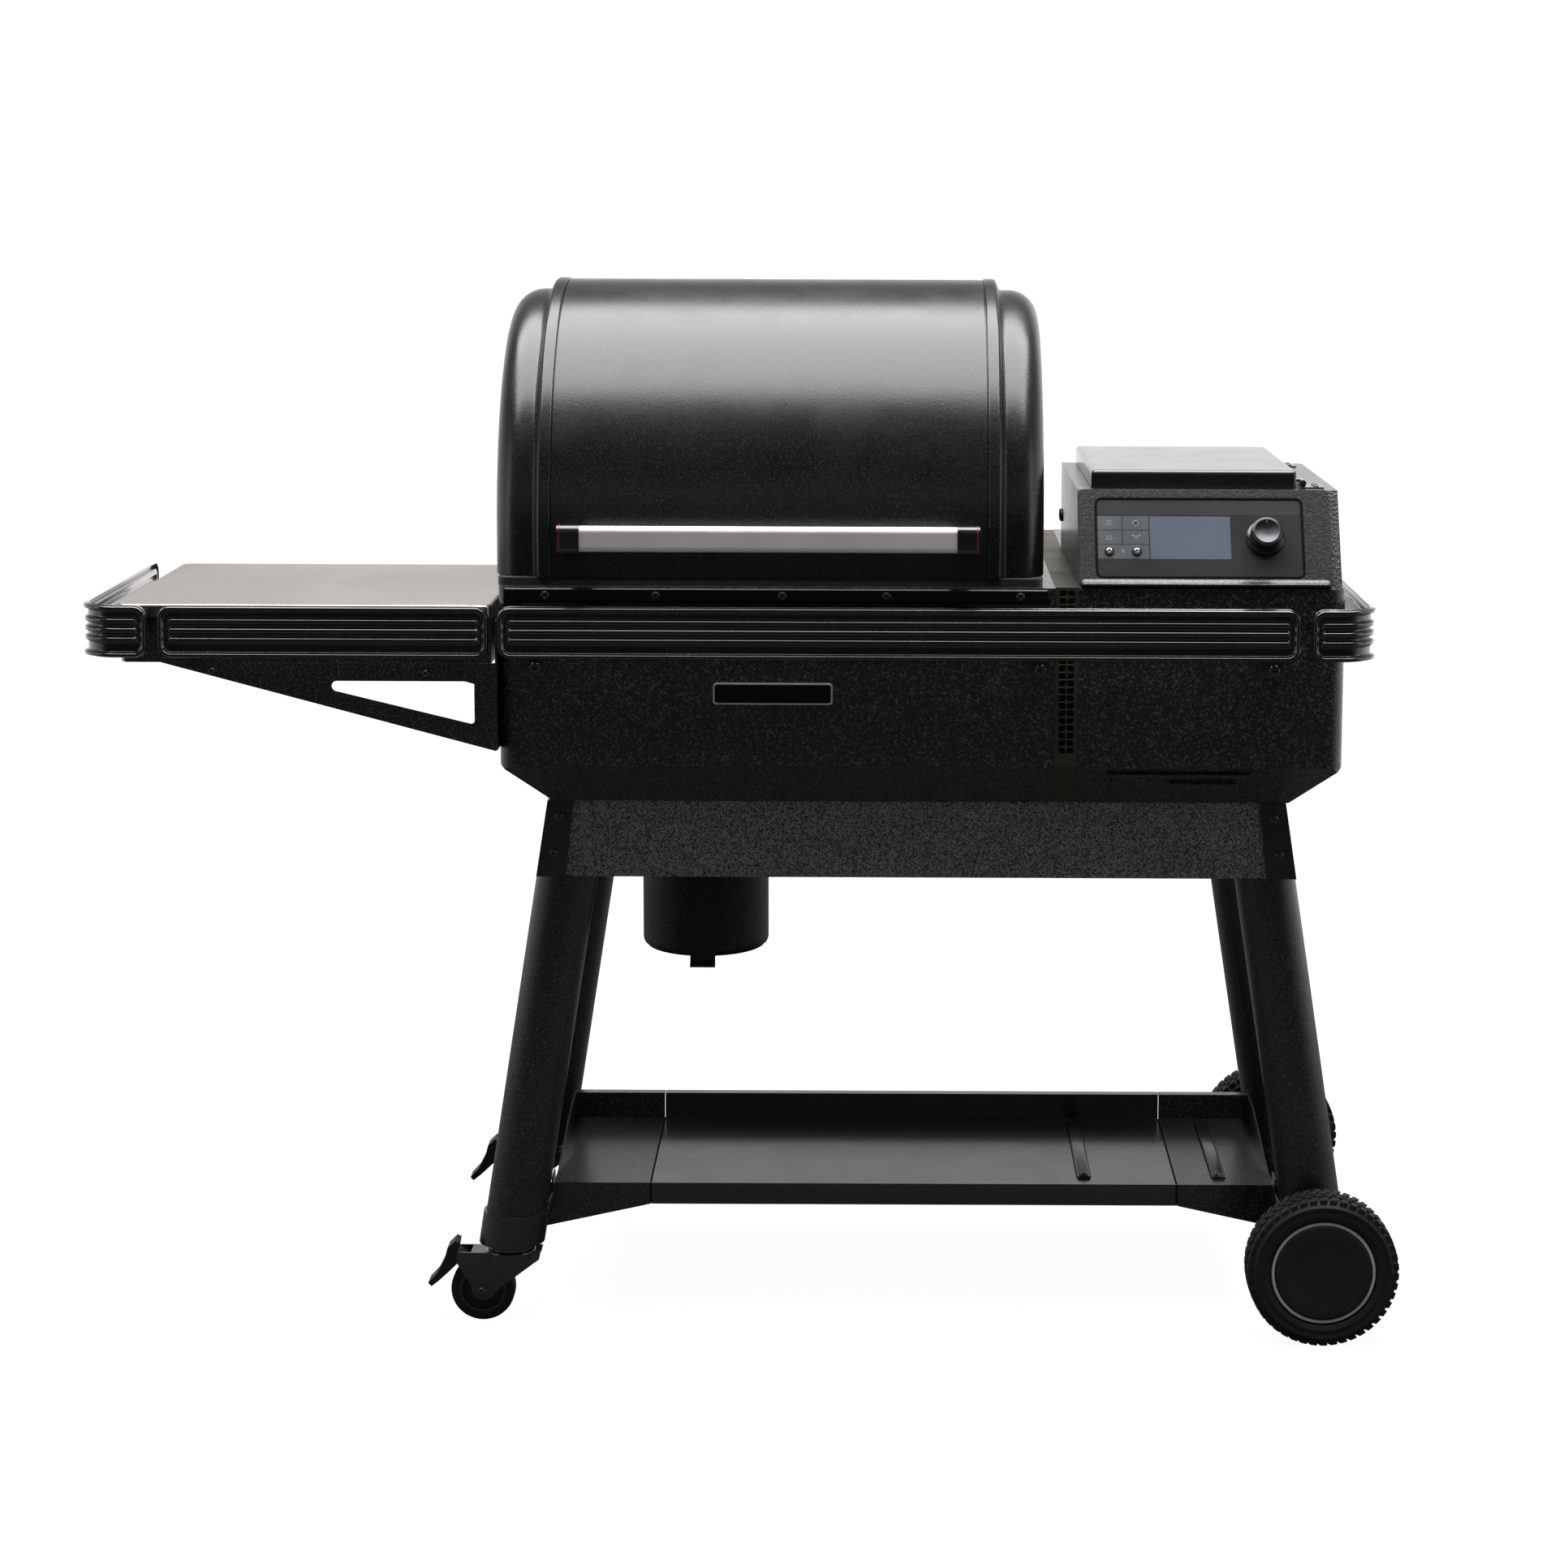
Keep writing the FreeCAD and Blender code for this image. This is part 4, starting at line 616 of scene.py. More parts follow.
# each head is a place, an axis, a radius and a height
heads = [((x, BODY_FRONT - 1.4, RIM_BOLTS_Z), -Y, 5.0, 1.6) for x in RIM_BOLTS_X]
heads += [((x, TAB_FACE, TAB_BOLTS_Z), -Y, 6.6, 3.4) for x in TABS_X]
for z in LEG_BOLTS_Z:
    for side in (-1, 1):
        x = cart_x + side * (apron_half - LEG_BOLTS_IN - APRON_SLOPE * (z - APRON_LOW))
        heads += [((x, -LEG_BOLTS_Y, z), -Y, 5.0, 3.0), ((x, LEG_BOLTS_Y, z), Y, 5.0, 3.0)]
heads += [((x, SHELF_BOLTS_Y, z), -Y, 4.0, 2.0) for x, z in SHELF_BOLTS]
heads += [((LID_HINGES_X, y + s, LID_HINGES_Z), Z, 3.5, 1.6) for y in LID_HINGES_Y for s in (-10, 10)]
bm = bmesh.new()
for place, axis, r, h in heads:
    button(bm, at(*place), axis, r, h)
wheel_x = 0.5 * (design("front_tyre", 0).x + design("front_tyre", 1).x)
for side in (-1, 1):
    lathe(bm, AXLE, at(wheel_x, side * AXLE_Y, AXLE_Z), Y * side, 40)
add_piece("button_bolts_and_axles", bm, "bolt_black_painted_rim_highlight", "cart", ["fasteners"])

bm = bmesh.new()
for x in TABS_X:
    slab(bm, (x - 17, TAB_FACE, 782.5), (x + 11.5, BODY_FRONT - 2.0, 812), 1.0, 3)
add_piece("rail_lower_tabs", bm, "satin_black", "cart")

# ---- tray and casters
TRAY_SEAMS_X = (cart_x - 314.5, cart_x + 314.5)
TRAY_REAR, TRAY_TOP, LIP_FOOT = 137.5, 143.9, 119.0
TRAY_RIBS_X = ((388.0, 403.0), (550.0, 565.0))

# splice strips under the tray's two seams and behind its front lip
bm = bmesh.new()
for x in TRAY_SEAMS_X:
    slab(bm, (x - 9, -137.4, 140.4), (x + 9, TRAY_REAR, 142.1), 0.5)
    slab(bm, (x - 9, -139.1, LIP_FOOT), (x + 9, -137.5, 142.0), 0.5)
add_piece("tray_splice_strips", bm, "satin_black", "cart")
# near-black strips painted as shade on the folded edges at the seams and along both sides of each rib
bm = bmesh.new()
for x in TRAY_SEAMS_X:
    slab(bm, (x - 1.1, -139.0, TRAY_TOP), (x + 1.1, TRAY_REAR, 144.2), 0.08, 1)
    slab(bm, (x - 1.1, -141.25, LIP_FOOT), (x + 1.1, -140.9, TRAY_TOP), 0.08, 1)
for low, high in TRAY_RIBS_X:
    for x in (low - 0.9, high + 0.9):
        slab(bm, (x - 0.6, -117.0, TRAY_TOP), (x + 0.6, 119.0, 144.3), 0.1, 1)
add_piece("tray_painted_seam_and_rib_shade", bm, "near_black_backing_and_painted_shade", "cart")
# caps along the ribs, each with a bolt at its front
bm = bmesh.new()
for low, high in TRAY_RIBS_X:
    slab(bm, (low + 0.8, -117.2, 146.2), (high - 0.8, 119.2, 147.3), 0.5, 3)
    button(bm, at(0.5 * (low + high), -110.0, 147.2), Z, 5.4, 2.0)
add_piece("tray_rib_caps", bm, "satin_black", "cart")

# axle heads on the caster forks and rings let into the caster wheels, their edges carrying the bolt finish's
# painted highlight
FORK_FACE = 19.4
CASTER_RING = ((24.4, -1.0), (24.4, 0.2), (25.0, 0.5), (26.6, 0.5), (27.2, 0.2), (27.2, -1.0))
for end in ("front", "rear"):
    low, high = corner_mm(end + "_caster_wheel", 0), corner_mm(end + "_caster_wheel", 1)
    hub = 0.5 * (low + high)
    bm = bmesh.new()
    for side in (-1, 1):
        button(bm, (hub + Y * side * FORK_FACE) * MM, Y * side, 5.4, 2.4)
    add_piece(end + "_caster_axle_heads", bm, "bolt_black_painted_rim_highlight", end + "_swivel")
    bm = bmesh.new()
    for side in (-1, 1):
        lathe(bm, CASTER_RING, (hub + Y * side * (0.5 * (high.y - low.y))) * MM, Y * side, 64)
    open_ends(bm)
    add_piece(end + "_caster_wheel_rings", bm, "bolt_black_painted_rim_highlight", end + "_roller")

# ---- vent lattice
COLUMN, COLUMN_TOP = (344.4, 370.8), 884.0
VENT_FACE, VENT_LOW, VENT_SHEET = BODY_FRONT + 0.3, 694.2, 0.65
CELL_X, CELL_Z, CELL_ROWS = 9.4, 8.5, 22


def leaf(turned, steps=10, tip=0.80, bulge=0.62):
    """Leaf-shaped hole in a unit cell, with its tips on one diagonal."""
    points = []
    for side in (1, -1):
        for k in range(steps):
            t = k / steps
            along, off = side * tip * (2 * t - 1), side * bulge * 4 * t * (1 - t)
            points.append((along - off, along + off))
    return [(-u, v) for u, v in points] if turned else points


bm = bmesh.new()
middle = 0.5 * (COLUMN[0] + COLUMN[1])
vent_top = VENT_LOW + CELL_ROWS * CELL_Z
for row in range(CELL_ROWS):
    for side in (0, 1):
        cx, cz = middle + (side - 0.5) * CELL_X, VENT_LOW + (row + 0.5) * CELL_Z
        hole = leaf((row + side) % 2 == 0)
        edge = [(u / max(abs(u), abs(v)), v / max(abs(u), abs(v))) for u, v in hole]
        rows = []
        for outline, back in ((edge, 0.0), (hole, 0.0), (hole, VENT_SHEET)):
            rows.append(loop_verts(bm, [at(cx + 0.5 * CELL_X * u, VENT_FACE + back, cz + 0.5 * CELL_Z * v)
                                        for u, v in outline]))
        skin(bm, rows, closed_rows=True)
for x0, x1, z0, z1 in ((COLUMN[0], middle - CELL_X, VENT_LOW, vent_top),
                       (middle + CELL_X, COLUMN[1], VENT_LOW, vent_top),
                       (*COLUMN, SKIRT_KNEE + 1.0, VENT_LOW), (*COLUMN, vent_top, COLUMN_TOP)):
    bm.faces.new(loop_verts(bm, [at(x, VENT_FACE, z) for x, z in ((x0, z0), (x1, z0), (x1, z1), (x0, z1))]))
add_piece("vent_lattice", bm, "dark_bronze", "cart", sharp=20)
bm = bmesh.new()
slab(bm, (COLUMN[0], VENT_FACE + 0.5, VENT_LOW), (COLUMN[1], VENT_FACE + 0.68, vent_top), 0.05, 1)
add_piece("vent_backing", bm, "near_black_backing_and_painted_shade", "cart", sharp=20)

# ---- body trim
TRIM_X = (-275.0, 337.0)
bm = bmesh.new()
slab(bm, (TRIM_X[0], BODY_FRONT - 1.5, 851.0), (TRIM_X[1], BODY_FRONT + 0.2, 881.5), 1.2, 3)
for z in (853.2, 879.4):
    slab(bm, (TRIM_X[0] + 2, BODY_FRONT - 2.6, z - 1.3), (TRIM_X[1] - 2, BODY_FRONT - 1.0, z + 1.3), 1.0, 3)
add_piece("rim_trim_strip", bm, "gloss_black", "cart")

# clean-out door on the hopper's front skirt: trapezoid plate with a raised rim, pull strip and coin screw
DOWN, FORWARD = Vector((0, 1, -1)).normalized(), Vector((0, -1, -1)).normalized()


def skirt(x, s, out):
    """Point on the hopper's front skirt: s down from the knee, out from its face."""
    p = Vector((0, BODY_FRONT, SKIRT_KNEE)) + DOWN * s + FORWARD * out
    return at(x, p.y, p.z)


def trapezoid(low, high, s0, s1, r, steps=5):
    """Rounded trapezoid on the skirt plane as (x, -s) pairs: half widths low at s1 and high at s0."""
    corners = [(high, -s0), (-high, -s0), (-low, -s1), (low, -s1)]
    points = []
    for i, corner in enumerate(corners):
        here = Vector(corner)
        before, after = Vector(corners[i - 1]) - here, Vector(corners[(i + 1) % 4]) - here
        before.normalize(), after.normalize()
        half = 0.5 * before.angle(after)
        reach = r / math.tan(half)
        a, b = here + before * reach, here + after * reach
        for k in range(steps + 1):
            t = k / steps
            points.append(tuple(a * (1 - t) ** 2 + here * 2 * t * (1 - t) + b * t * t))
    return points


DOOR_X, HINGE = 486.5, (11.5, 2.7)
PULL, COIN = (514.5, 30.5), (443.5, 24.5)
# the rim's outlines: half widths low and high, top, foot, corner radius; then the lift
DOOR_RIM = (((80.5, 74.5, 13.4, 59.6, 3.0), 2.0), ((79.8, 73.8, 14.1, 58.9, 2.6), 2.9),
            ((77.6, 71.4, 16.6, 56.6, 1.6), 2.9), ((76.8, 70.6, 17.4, 55.8, 1.2), 2.0))
COIN_HEAD = ((6.4, 0.0), (6.4, 1.0), (5.8, 1.7), (4.6, 2.0), (4.2, 1.4), (0.0, 1.4))
bm = bmesh.new()
plate(bm, trapezoid(*DOOR_RIM[0][0]), skirt(DOOR_X, 0, 0.5), X, -DOWN, 1.6, 0.3)
rows = []
for size, lift in DOOR_RIM:
    rows.append(loop_verts(bm, [skirt(DOOR_X + p, -q, lift) for p, q in trapezoid(*size)]))
skin(bm, rows, closed_rows=True, closed_cols=True)
plate(bm, ring_outline(81.0, 15.0, 3.5), skirt(*PULL, 2.0), X, -DOWN, 4.2, 1.4)
lathe(bm, [(2.4, -148.6), (2.4, 0.0)], skirt(560.8, *HINGE), X, 24)
lathe(bm, [(1.2, -165.0), (1.2, 0.0)], skirt(569.0, *HINGE), X, 16)
add_piece("cleanout_door_plate", bm, "textured_black", "flap", ["cleanout_door"], sharp=20)
bm = bmesh.new()
lathe(bm, COIN_HEAD, skirt(*COIN, 2.0), FORWARD, 40)
plate(bm, ring_outline(8.6, 1.4, 0.6, 3), skirt(*COIN, 3.2), X, -DOWN, 0.7, 0.2)
add_piece("cleanout_coin_screw", bm, "bolt_black_painted_rim_highlight", "flap")

# oval cable grommet low at the back of the head's left side
HEAD_SIDE, GROMMET_Y, GROMMET_Z, GROMMET_HALF_Y, GROMMET_HALF_Z = 371.0, 84.0, 925.0, 15.0, 7.0
bm = bmesh.new()
oval = ring_outline(2 * GROMMET_HALF_Y, 2 * GROMMET_HALF_Z, 6.9)
rows = []
for pull, lift in ((0.0, 0.0), (0.0, 2.2), (1.2, 3.0), (2.6, 2.4), (3.4, 0.6)):
    rows.append(loop_verts(bm, [at(HEAD_SIDE - lift, GROMMET_Y - p * (1 - pull / GROMMET_HALF_Y),
                                   GROMMET_Z + q * (1 - pull / GROMMET_HALF_Z)) for p, q in oval]))
skin(bm, rows, closed_rows=True)
bm.faces.new(rows[-1])
add_piece("head_side_grommet", bm, "black_plastic", "cart")

BADGE_X, BADGE_Z = 27.25, 762.25
bm = bmesh.new()
plate(bm, ring_outline(131.0, 21.0, 3.0), at(BADGE_X, BODY_FRONT - 1.5, BADGE_Z), X, Z, 0.5, 0.3)
add_piece("badge_blank_face", bm, "gloss_black", "cart", sharp=15)

# ---- handle
handle_low, handle_high = corner_mm("handle_mounts", 0), corner_mm("handle_mounts", 1)
bar_low, bar_high = corner_mm("handle_bar", 0), corner_mm("handle_bar", 1)
RING_INSET = 2.6
outer, inner = ring_outline(22.4, 31.4, 7.2), ring_outline(21.0, 30.0, 6.6)
bm = bmesh.new()
for x in (handle_low.x + RING_INSET, handle_high.x - RING_INSET):
    centre = Vector((x, 0.5 * (bar_low.y + bar_high.y), 0.5 * (bar_low.z + bar_high.z))) * MM
    rows = []
    for outline, dx in ((inner, -0.6), (outer, -0.5), (outer, 0.5), (inner, 0.6)):
        rows.append(loop_verts(bm, [centre + Vector((dx, p - 0.5, q)) * MM for p, q in outline]))
    skin(bm, rows, closed_rows=True, closed_cols=True)
add_piece("handle_accent_rings", bm, "accent_red", "hood")

# ---- control panel
PANEL_LOW, PANEL_HIGH = Vector((0, -301, 885)), Vector((0, -241, 989))
UP = (PANEL_HIGH - PANEL_LOW).normalized()
OUT = Vector((0, -UP.z, UP.y))


def panel(x, s, out):
    """Point on the sloped control panel, in metres."""
    p = PANEL_LOW + UP * s + OUT * out
    return at(x, p.y, p.z)


def panel_plate(bm, x, s, out, thickness=0.12, radius=0.6):
    """Thin film on the panel between two X and two distances up its face."""
    plate(bm, ring_outline(x[1] - x[0], s[1] - s[0], radius, 4),
          panel(0.5 * (x[0] + x[1]), 0.5 * (s[0] + s[1]), out), X, UP, thickness, 0.05)


# face of the glass, and of the films on it
GLASS = -0.8
INK = GLASS + 0.1
FILM_X, KEYS_X, KEYS_S = 391.0, ((391.0, 420.0), (421.0, 450.4)), ((70.2, 87.0), (52.6, 69.2))
JACKS_X, JACKS_S, JACKS_OUT = (405.5, 436.5), 44.0, 0.75
# lighter band along the top of the glass: a painted reflection of the overhead light
bm = bmesh.new()
panel_plate(bm, (FILM_X, 624.0), (88.5, 109.2), GLASS, 0.08, 6.5)
add_piece("glass_top_painted_reflection", bm, "glass_painted_reflection", "cart", sharp=5)
bm = bmesh.new()
panel_plate(bm, (451.5, 542.6), (34.4, 86.8), GLASS, 0.1, 1.0)
add_piece("display_screen", bm, "screen", "cart", sharp=5)
bm = bmesh.new()
for x in KEYS_X:
    for s in KEYS_S:
        panel_plate(bm, x, s, GLASS, 0.1)
panel_plate(bm, (FILM_X, KEYS_X[1][1]), (34.6, 51.6), GLASS, 0.1)
add_piece("key_fields", bm, "key_film", "cart", sharp=5)
# generic symbols: bars, rings and dashes
bm = bmesh.new()
for k in (-2.6, 0.0, 2.6):
    panel_plate(bm, (402.0, 409.0), (78.6 + k - 0.4, 78.6 + k + 0.4), INK, 0.1, 0.3)
for centre, size in (((435.7, 78.6), 3.4), ((436.0, 61.0), 2.0), ((440.0, 63.5), 1.2), ((432.4, 63.5), 1.2)):
    lathe(bm, [(size, 0), (size, 0.12), (size - 0.8, 0.14), (size - 0.8, 0.0)], panel(*centre, INK), OUT, 20)
panel_plate(bm, (435.4, 436.0), (78.6, 81.0), INK, 0.12, 0.2)
panel_plate(bm, (401.5, 409.5), (58.4, 59.3), INK, 0.1, 0.3)
for k in (-2.4, 0.0, 2.4):
    panel_plate(bm, (405.5 + k - 0.4, 405.5 + k + 0.4), (60.6, 63.4), INK, 0.1, 0.3)
panel_plate(bm, (420.2, 421.8), (42.0, 46.0), INK, 0.1, 0.5)
add_piece("key_legends", bm, "legend", "cart", sharp=5)
JACK_RING = ((3.2, 0.0), (3.2, 0.6), (2.8, 0.9), (1.8, 0.9), (1.6, 0.5), (1.6, 0.0))
JACK_COLLAR = ((5.4, -1.4), (5.4, 0.4), (4.9, 0.9), (3.6, 0.9), (3.3, 0.4), (3.3, -1.4))
for name, profile, look, sides in (("probe_jack_rings", JACK_RING, "jack_steel", 32),
                                   ("probe_jack_collars", JACK_COLLAR, "gloss_knob", 40)):
    bm = bmesh.new()
    for x in JACKS_X:
        lathe(bm, profile, panel(x, JACKS_S, JACKS_OUT), OUT, sides)
    add_piece(name, bm, look, "cart")

# near-black ring round the glass, painted shade along the glass's edge, and the lip that runs along the foot
# of the panel
GLASS_WIDTH, GLASS_HEIGHT, GLASS_RADIUS, GLASS_X, GLASS_S = 235.0, 99.0, 8.0, 507.5, 60.5
bm = bmesh.new()
rows = []
for grow, lift in ((0.4, -0.6), (0.4, 0.25), (-0.5, 0.45), (-1.9, 0.45), (-2.4, 0.1), (-2.4, -0.6)):
    outline = ring_outline(GLASS_WIDTH + 2 * grow, GLASS_HEIGHT + 2 * grow, GLASS_RADIUS + grow, 8)
    rows.append(loop_verts(bm, [panel(GLASS_X + u, GLASS_S + v, lift) for u, v in outline]))
skin(bm, rows, closed_rows=True, closed_cols=True)
add_piece("glass_edge_painted_shade", bm, "near_black_backing_and_painted_shade", "cart", sharp=30)
# the lip's section as (distance up the panel, lift), and its X stations with the section's size at each
LIP_FOOT_S, LIP_BACK = 0.1, -0.2
LIP = ((9.6, -0.2), (9.0, 0.15), (7.6, 0.5), (6.0, 1.1), (4.6, 2.0), (3.4, 3.2), (2.5, 4.2), (1.7, 4.7),
       (0.9, 4.6), (0.3, 4.0), (0.1, 3.0), (0.1, -0.2))
LIP_STATIONS = ((373.2, 0.25), (374.0, 0.7), (376.5, 1.0), (650.0, 1.0), (652.5, 0.7), (653.3, 0.25))
bm = bmesh.new()
rows = []
for x, k in LIP_STATIONS:
    rows.append(loop_verts(bm, [panel(x, LIP_FOOT_S + (s - LIP_FOOT_S) * (0.4 + 0.6 * k),
                                      LIP_BACK + (o - LIP_BACK) * k) for s, o in LIP]))
skin(bm, rows)
bm.faces.new(rows[0])
bm.faces.new(rows[-1])
add_piece("panel_foot_lip", bm, "textured_black", "cart", sharp=50)

knob_centre = panel(581.5, 60.0, 0.0)
KNOB = ((21.5, 0.05), (21.5, 3.6), (20.9, 5.0), (19.8, 5.8), (18.6, 6.1), (18.0, 6.6), (17.95, 10.0),
        (17.9, 18.5), (17.5, 20.0), (16.6, 20.9), (16.0, 21.1), (15.6, 20.8), (0.0, 20.8))
KNOB_FACE = ((15.4, 20.7), (15.4, 21.3), (14.8, 21.7), (13.9, 21.75), (13.4, 21.45), (0.0, 21.4))
FLUTES, FLUTE_DEPTH, FLUTED_FROM, FLUTED_TO = 60, 0.22, 17.0, 18.01


def fluted(r, a):
    """Radius of the knob at an angle, with flutes round its grip."""
    flute = FLUTE_DEPTH * (0.5 + 0.5 * math.cos(FLUTES * a))
    return r - flute if FLUTED_FROM < r < FLUTED_TO else r


bm = bmesh.new()
lathe(bm, KNOB, knob_centre, OUT, 240, shape=fluted)
add_piece("knob_body", bm, "gloss_knob", "knob", ["control_knob"])
bm = bmesh.new()
lathe(bm, KNOB_FACE, knob_centre, OUT, 96)
add_piece("knob_metal_face", bm, "knob_face", "knob")
bm = bmesh.new()
panel_plate(bm, (581.1, 581.9), (70.2, 72.8), 21.45, 0.12, 0.3)
add_piece("knob_pointer", bm, "legend", "knob", sharp=5)

# ---- tyres and hubs
tyre_low, tyre_high = corner_mm("front_tyre", 0), corner_mm("front_tyre", 1)
WHEEL_R, WHEEL_X = 0.5 * (tyre_high.z - tyre_low.z), 0.5 * (tyre_low.x + tyre_high.x)
HUB_R, TREAD, TYRE_WIDTH, LUGS = 61.8, 3.4, 50.0, 46
CROWN = WHEEL_R - TREAD
# side wall as (radius, distance in from the outer face)
TYRE_WALL = [(HUB_R + 0.4, 9.0), (HUB_R + 0.4, 4.5), (HUB_R + 1.6, 2.6), (HUB_R + 4.0, 1.6), (66.8, 1.3),
             (67.6, 0.7), (69.2, 0.6), (70.4, 1.1), (75.0, 0.9), (76.5, 0.2), (78.4, 0.4), (79.2, 1.8),
             (81.0, 3.2), (82.8, 5.6), (CROWN, 9.5)]
# rows of lugs: shift in half pitches, low and high across the width, half length, root, drop, skew
LUG_ROWS = ((0, 3.6, 15.0, 4.2, 78.5, 0.6, 0.35), (1, 35.0, 46.4, 4.2, 78.5, 0.6, 0.35),
            (1, 16.6, 24.2, 3.8, 80.0, 0.0, -0.5), (0, 25.8, 33.4, 3.8, 80.0, 0.0, 0.5))
HUB_RING = ((56.4, 4.6), (56.4, 3.6), (56.9, 3.0), (59.6, 3.0), (60.1, 3.6), (60.1, 4.6))
HUB_CAP = ((55.4, 5.5), (55.4, 3.2), (54.6, 2.3), (53.0, 2.0), (40.6, 1.9), (39.4, 2.7), (20.0, 3.0),
           (0.0, 3.1))


def tread_block(bm, centre, axis, angle, low, high, half, inner, outer, skew):
    """Chamfered rubber lug on the tyre crown between two heights across its width."""
    rings = []
    mid = 0.5 * (low + high)
    for radius, shrink in ((inner, 1.0), (outer - 0.8, 1.0), (outer, 0.86)):
        corners = []
        for h, along in ((low, -half), (high, -half), (high, half), (low, half)):
            a = angle + (along * shrink) / outer + skew * (h - mid) / outer
            corners.append(polar(centre, axis, Z, radius, a, mid + (h - mid) * shrink))
        rings.append(loop_verts(bm, corners))
    skin(bm, rings, closed_rows=True)
    bm.faces.new(rings[-1])
    bm.faces.new(rings[0])


for end, side in (("front", -1.0), ("rear", 1.0)):
    outer_y = corner_mm(end + "_tyre", 0 if side < 0 else 1).y
    centre = Vector((WHEEL_X, outer_y, WHEEL_R)) * MM
    inward = Y * -side
    bm = bmesh.new()
    inner_wall = [(r, TYRE_WIDTH - h) for r, h in reversed(TYRE_WALL)]
    lathe(bm, TYRE_WALL + [(CROWN + 0.3, TYRE_WIDTH / 2)] + inner_wall, centre, inward, 120)
    open_ends(bm)
    bmesh.ops.bridge_loops(bm, edges=[e for e in bm.edges if e.is_boundary])
    for k in range(LUGS):
        for shift, low, high, half, root, drop, skew in LUG_ROWS:
            a = 2 * math.pi * k / LUGS + shift * math.pi / LUGS
            tread_block(bm, centre, inward, a, low, high, half, root, WHEEL_R - drop, skew)
    add_piece(end + "_lugged_tyre", bm, "rubber_black", end + "_wheel", [end + "_tyre"],
              sharp=35)

    bm = bmesh.new()
    lathe(bm, HUB_RING, centre, inward, 120)
    add_piece(end + "_hub_ring", bm, "ring_grey", end + "_wheel")
    bm = bmesh.new()
    lathe(bm, HUB_CAP, centre, inward, 120)
    add_piece(end + "_hub_cap", bm, "black_plastic", end + "_wheel")

# ---- studio and camera
# lengths in this section are metres, but for the camera's
scene = bpy.context.scene
scene.view_settings.view_transform = "Standard"

floor_mesh = bpy.data.meshes.new("floor")
bm = bmesh.new()
bmesh.ops.create_circle(bm, cap_ends=True, segments=96, radius=3.2)
bm.to_mesh(floor_mesh)
bm.free()
floor = bpy.data.objects.new("floor", floor_mesh)
scene.collection.objects.link(floor)
floor_material = bpy.data.materials.new("pale_floor")
g = Graph(floor_material)
s = g.tree.nodes["Principled BSDF"].inputs
soft = g.node("ShaderNodeTexNoise", {"Scale": 6.0, "Detail": 2.0}).outputs["Fac"]
seen = g.node("ShaderNodeLightPath").outputs["Is Camera Ray"]
g.put(s["Base Color"], g.mix(soft, (0.10, 0.10, 0.10), (0.12, 0.12, 0.12)))
s["Roughness"].default_value = 0.9
s["Specular IOR Level"].default_value = 0.1
# white in the picture, while it lights the grill only weakly
s["Emission Color"].default_value = (1, 1, 1, 1)
g.put(s["Emission Strength"], g.math("MULTIPLY", seen, 0.95))
floor_mesh.materials.append(floor_material)

world = bpy.data.worlds.new("studio")
scene.world = world
sky = Graph(world)
sky.tree.nodes.clear()


def ramp(value, low, high, to_low, to_high):
    return sky.spread(value, low, high, to_low, to_high, interpolation_type="SMOOTHSTEP")


direction = sky.node("ShaderNodeTexCoord").outputs["Generated"]
parts = sky.node("ShaderNodeSeparateXYZ", {"Vector": direction}).outputs

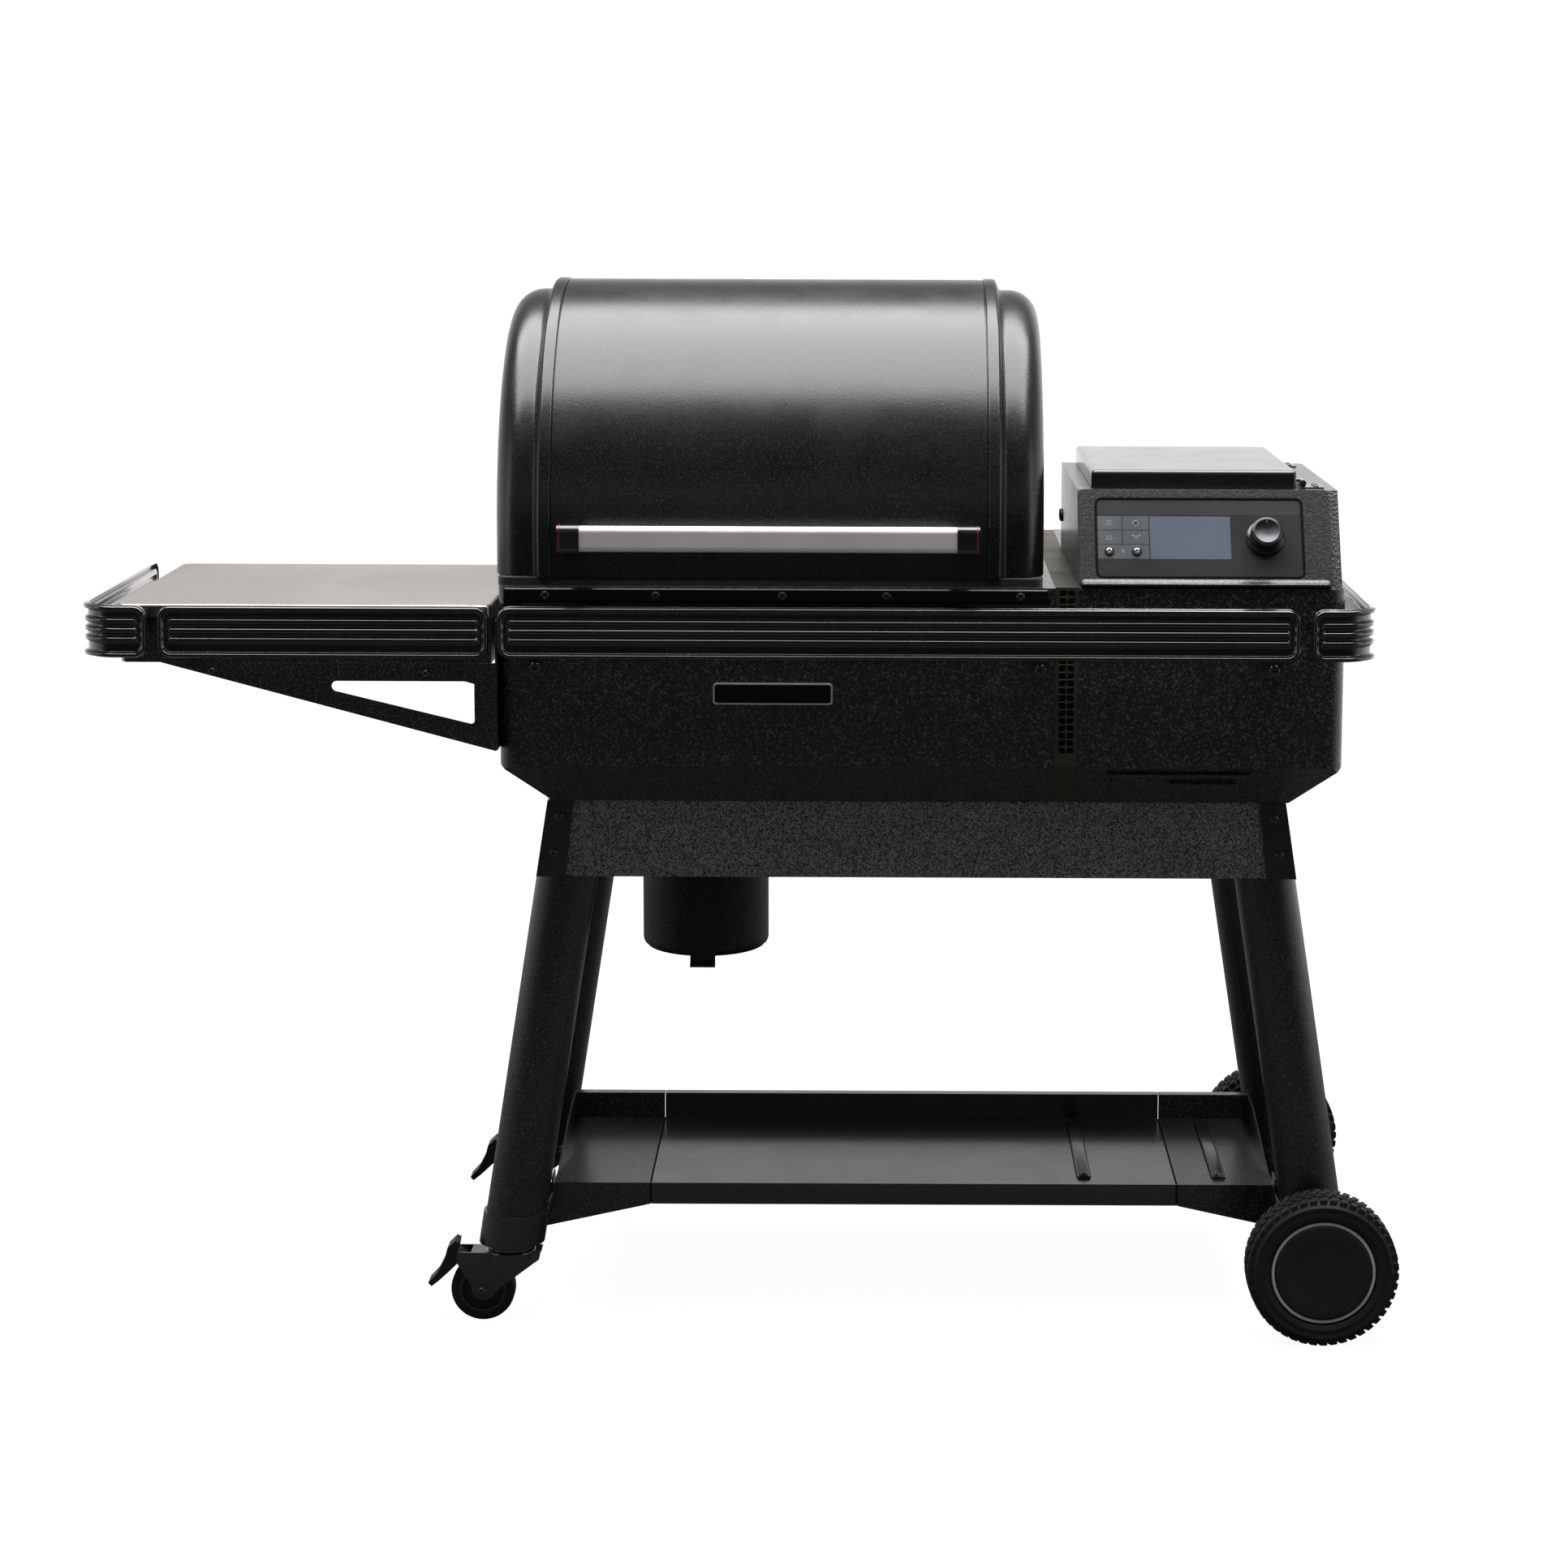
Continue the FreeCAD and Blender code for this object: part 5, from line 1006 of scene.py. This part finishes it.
# a bright sweep behind, dimmer with height; a dark front with one pale band above eye level
height = parts["Z"]
behind = sky.math("MULTIPLY", ramp(height, 0.02, 0.46, 1.30, 0.26), ramp(parts["X"], -0.30, -0.04, 0.74, 1.0))
band = sky.math("MULTIPLY", ramp(height, 0.14, 0.22, 0.0, 1.0), ramp(height, 0.28, 0.36, 0.30, 0.0))
ahead = sky.math("ADD", band, ramp(height, 0.60, 0.86, 0.03, 0.22))
turn = ramp(parts["Y"], -0.75, 0.30, 0.0, 1.0)
total = sky.math("ADD", sky.math("MULTIPLY", behind, turn),
                 sky.math("MULTIPLY", ahead, sky.math("SUBTRACT", 1.0, turn)))
lit = sky.node("ShaderNodeBackground", {"Strength": total, "Color": (1.0, 0.985, 0.96, 1)}).outputs[0]
white = sky.node("ShaderNodeBackground", {"Strength": 1.05, "Color": (1, 1, 1, 1)}).outputs[0]
seen = sky.node("ShaderNodeLightPath").outputs["Is Camera Ray"]
both = sky.node("ShaderNodeMixShader", {0: seen, 1: lit, 2: white}).outputs[0]
sky.node("ShaderNodeOutputWorld", {"Surface": both})


def softbox(name, place, target, width, depth, radiance):
    """Rectangular area light that faces a target."""
    light = bpy.data.lights.new(name, "AREA")
    light.shape = "RECTANGLE"
    light.size, light.size_y = width, depth
    light.energy = radiance * math.pi * width * depth
    obj = bpy.data.objects.new(name, light)
    scene.collection.objects.link(obj)
    obj.location = place
    obj.rotation_euler = (Vector(target) - Vector(place)).to_track_quat("-Z", "Y").to_euler()


softbox("overhead_softbox", (0.0, 0.0, 2.75), (0.0, 0.0, 0.9), 3.4, 2.05, 8.8)
softbox("left_strip", (-3.2, -1.2, 1.5), (0.0, 0.0, 0.7), 0.8, 2.0, 1.2)
softbox("right_strip", (3.2, -1.2, 1.5), (0.0, 0.0, 0.7), 0.8, 2.0, 1.2)

# focal length, optical axis and horizon, all in units of a frame 1932 wide; the sensor in millimetres
FRAME, FOCAL, SENSOR = 1932.0, 4200.0, 36.0
AXIS_X, AXIS_Y, TILT_Y, ROLL = 1085.0, 750.0, 185.0, 0.004
CAMERA_MM = (148.2, -4090.0, 1369.0)
camera_data = bpy.data.cameras.new("camera")
camera_data.sensor_width = SENSOR
camera_data.lens = FOCAL / FRAME * SENSOR
camera_data.shift_x = (FRAME / 2 - AXIS_X) / FRAME
camera_data.shift_y = (AXIS_Y - FRAME / 2) / FRAME
camera_data.clip_end = 60.0
camera = bpy.data.objects.new("camera", camera_data)
scene.collection.objects.link(camera)
pitch = math.atan2(AXIS_Y - TILT_Y, FOCAL)
camera.matrix_world = (Matrix.Translation(at(*CAMERA_MM)) @ Matrix.Rotation(math.pi / 2 - pitch, 4, "X")
                       @ Matrix.Rotation(ROLL, 4, "Z"))
scene.camera = camera
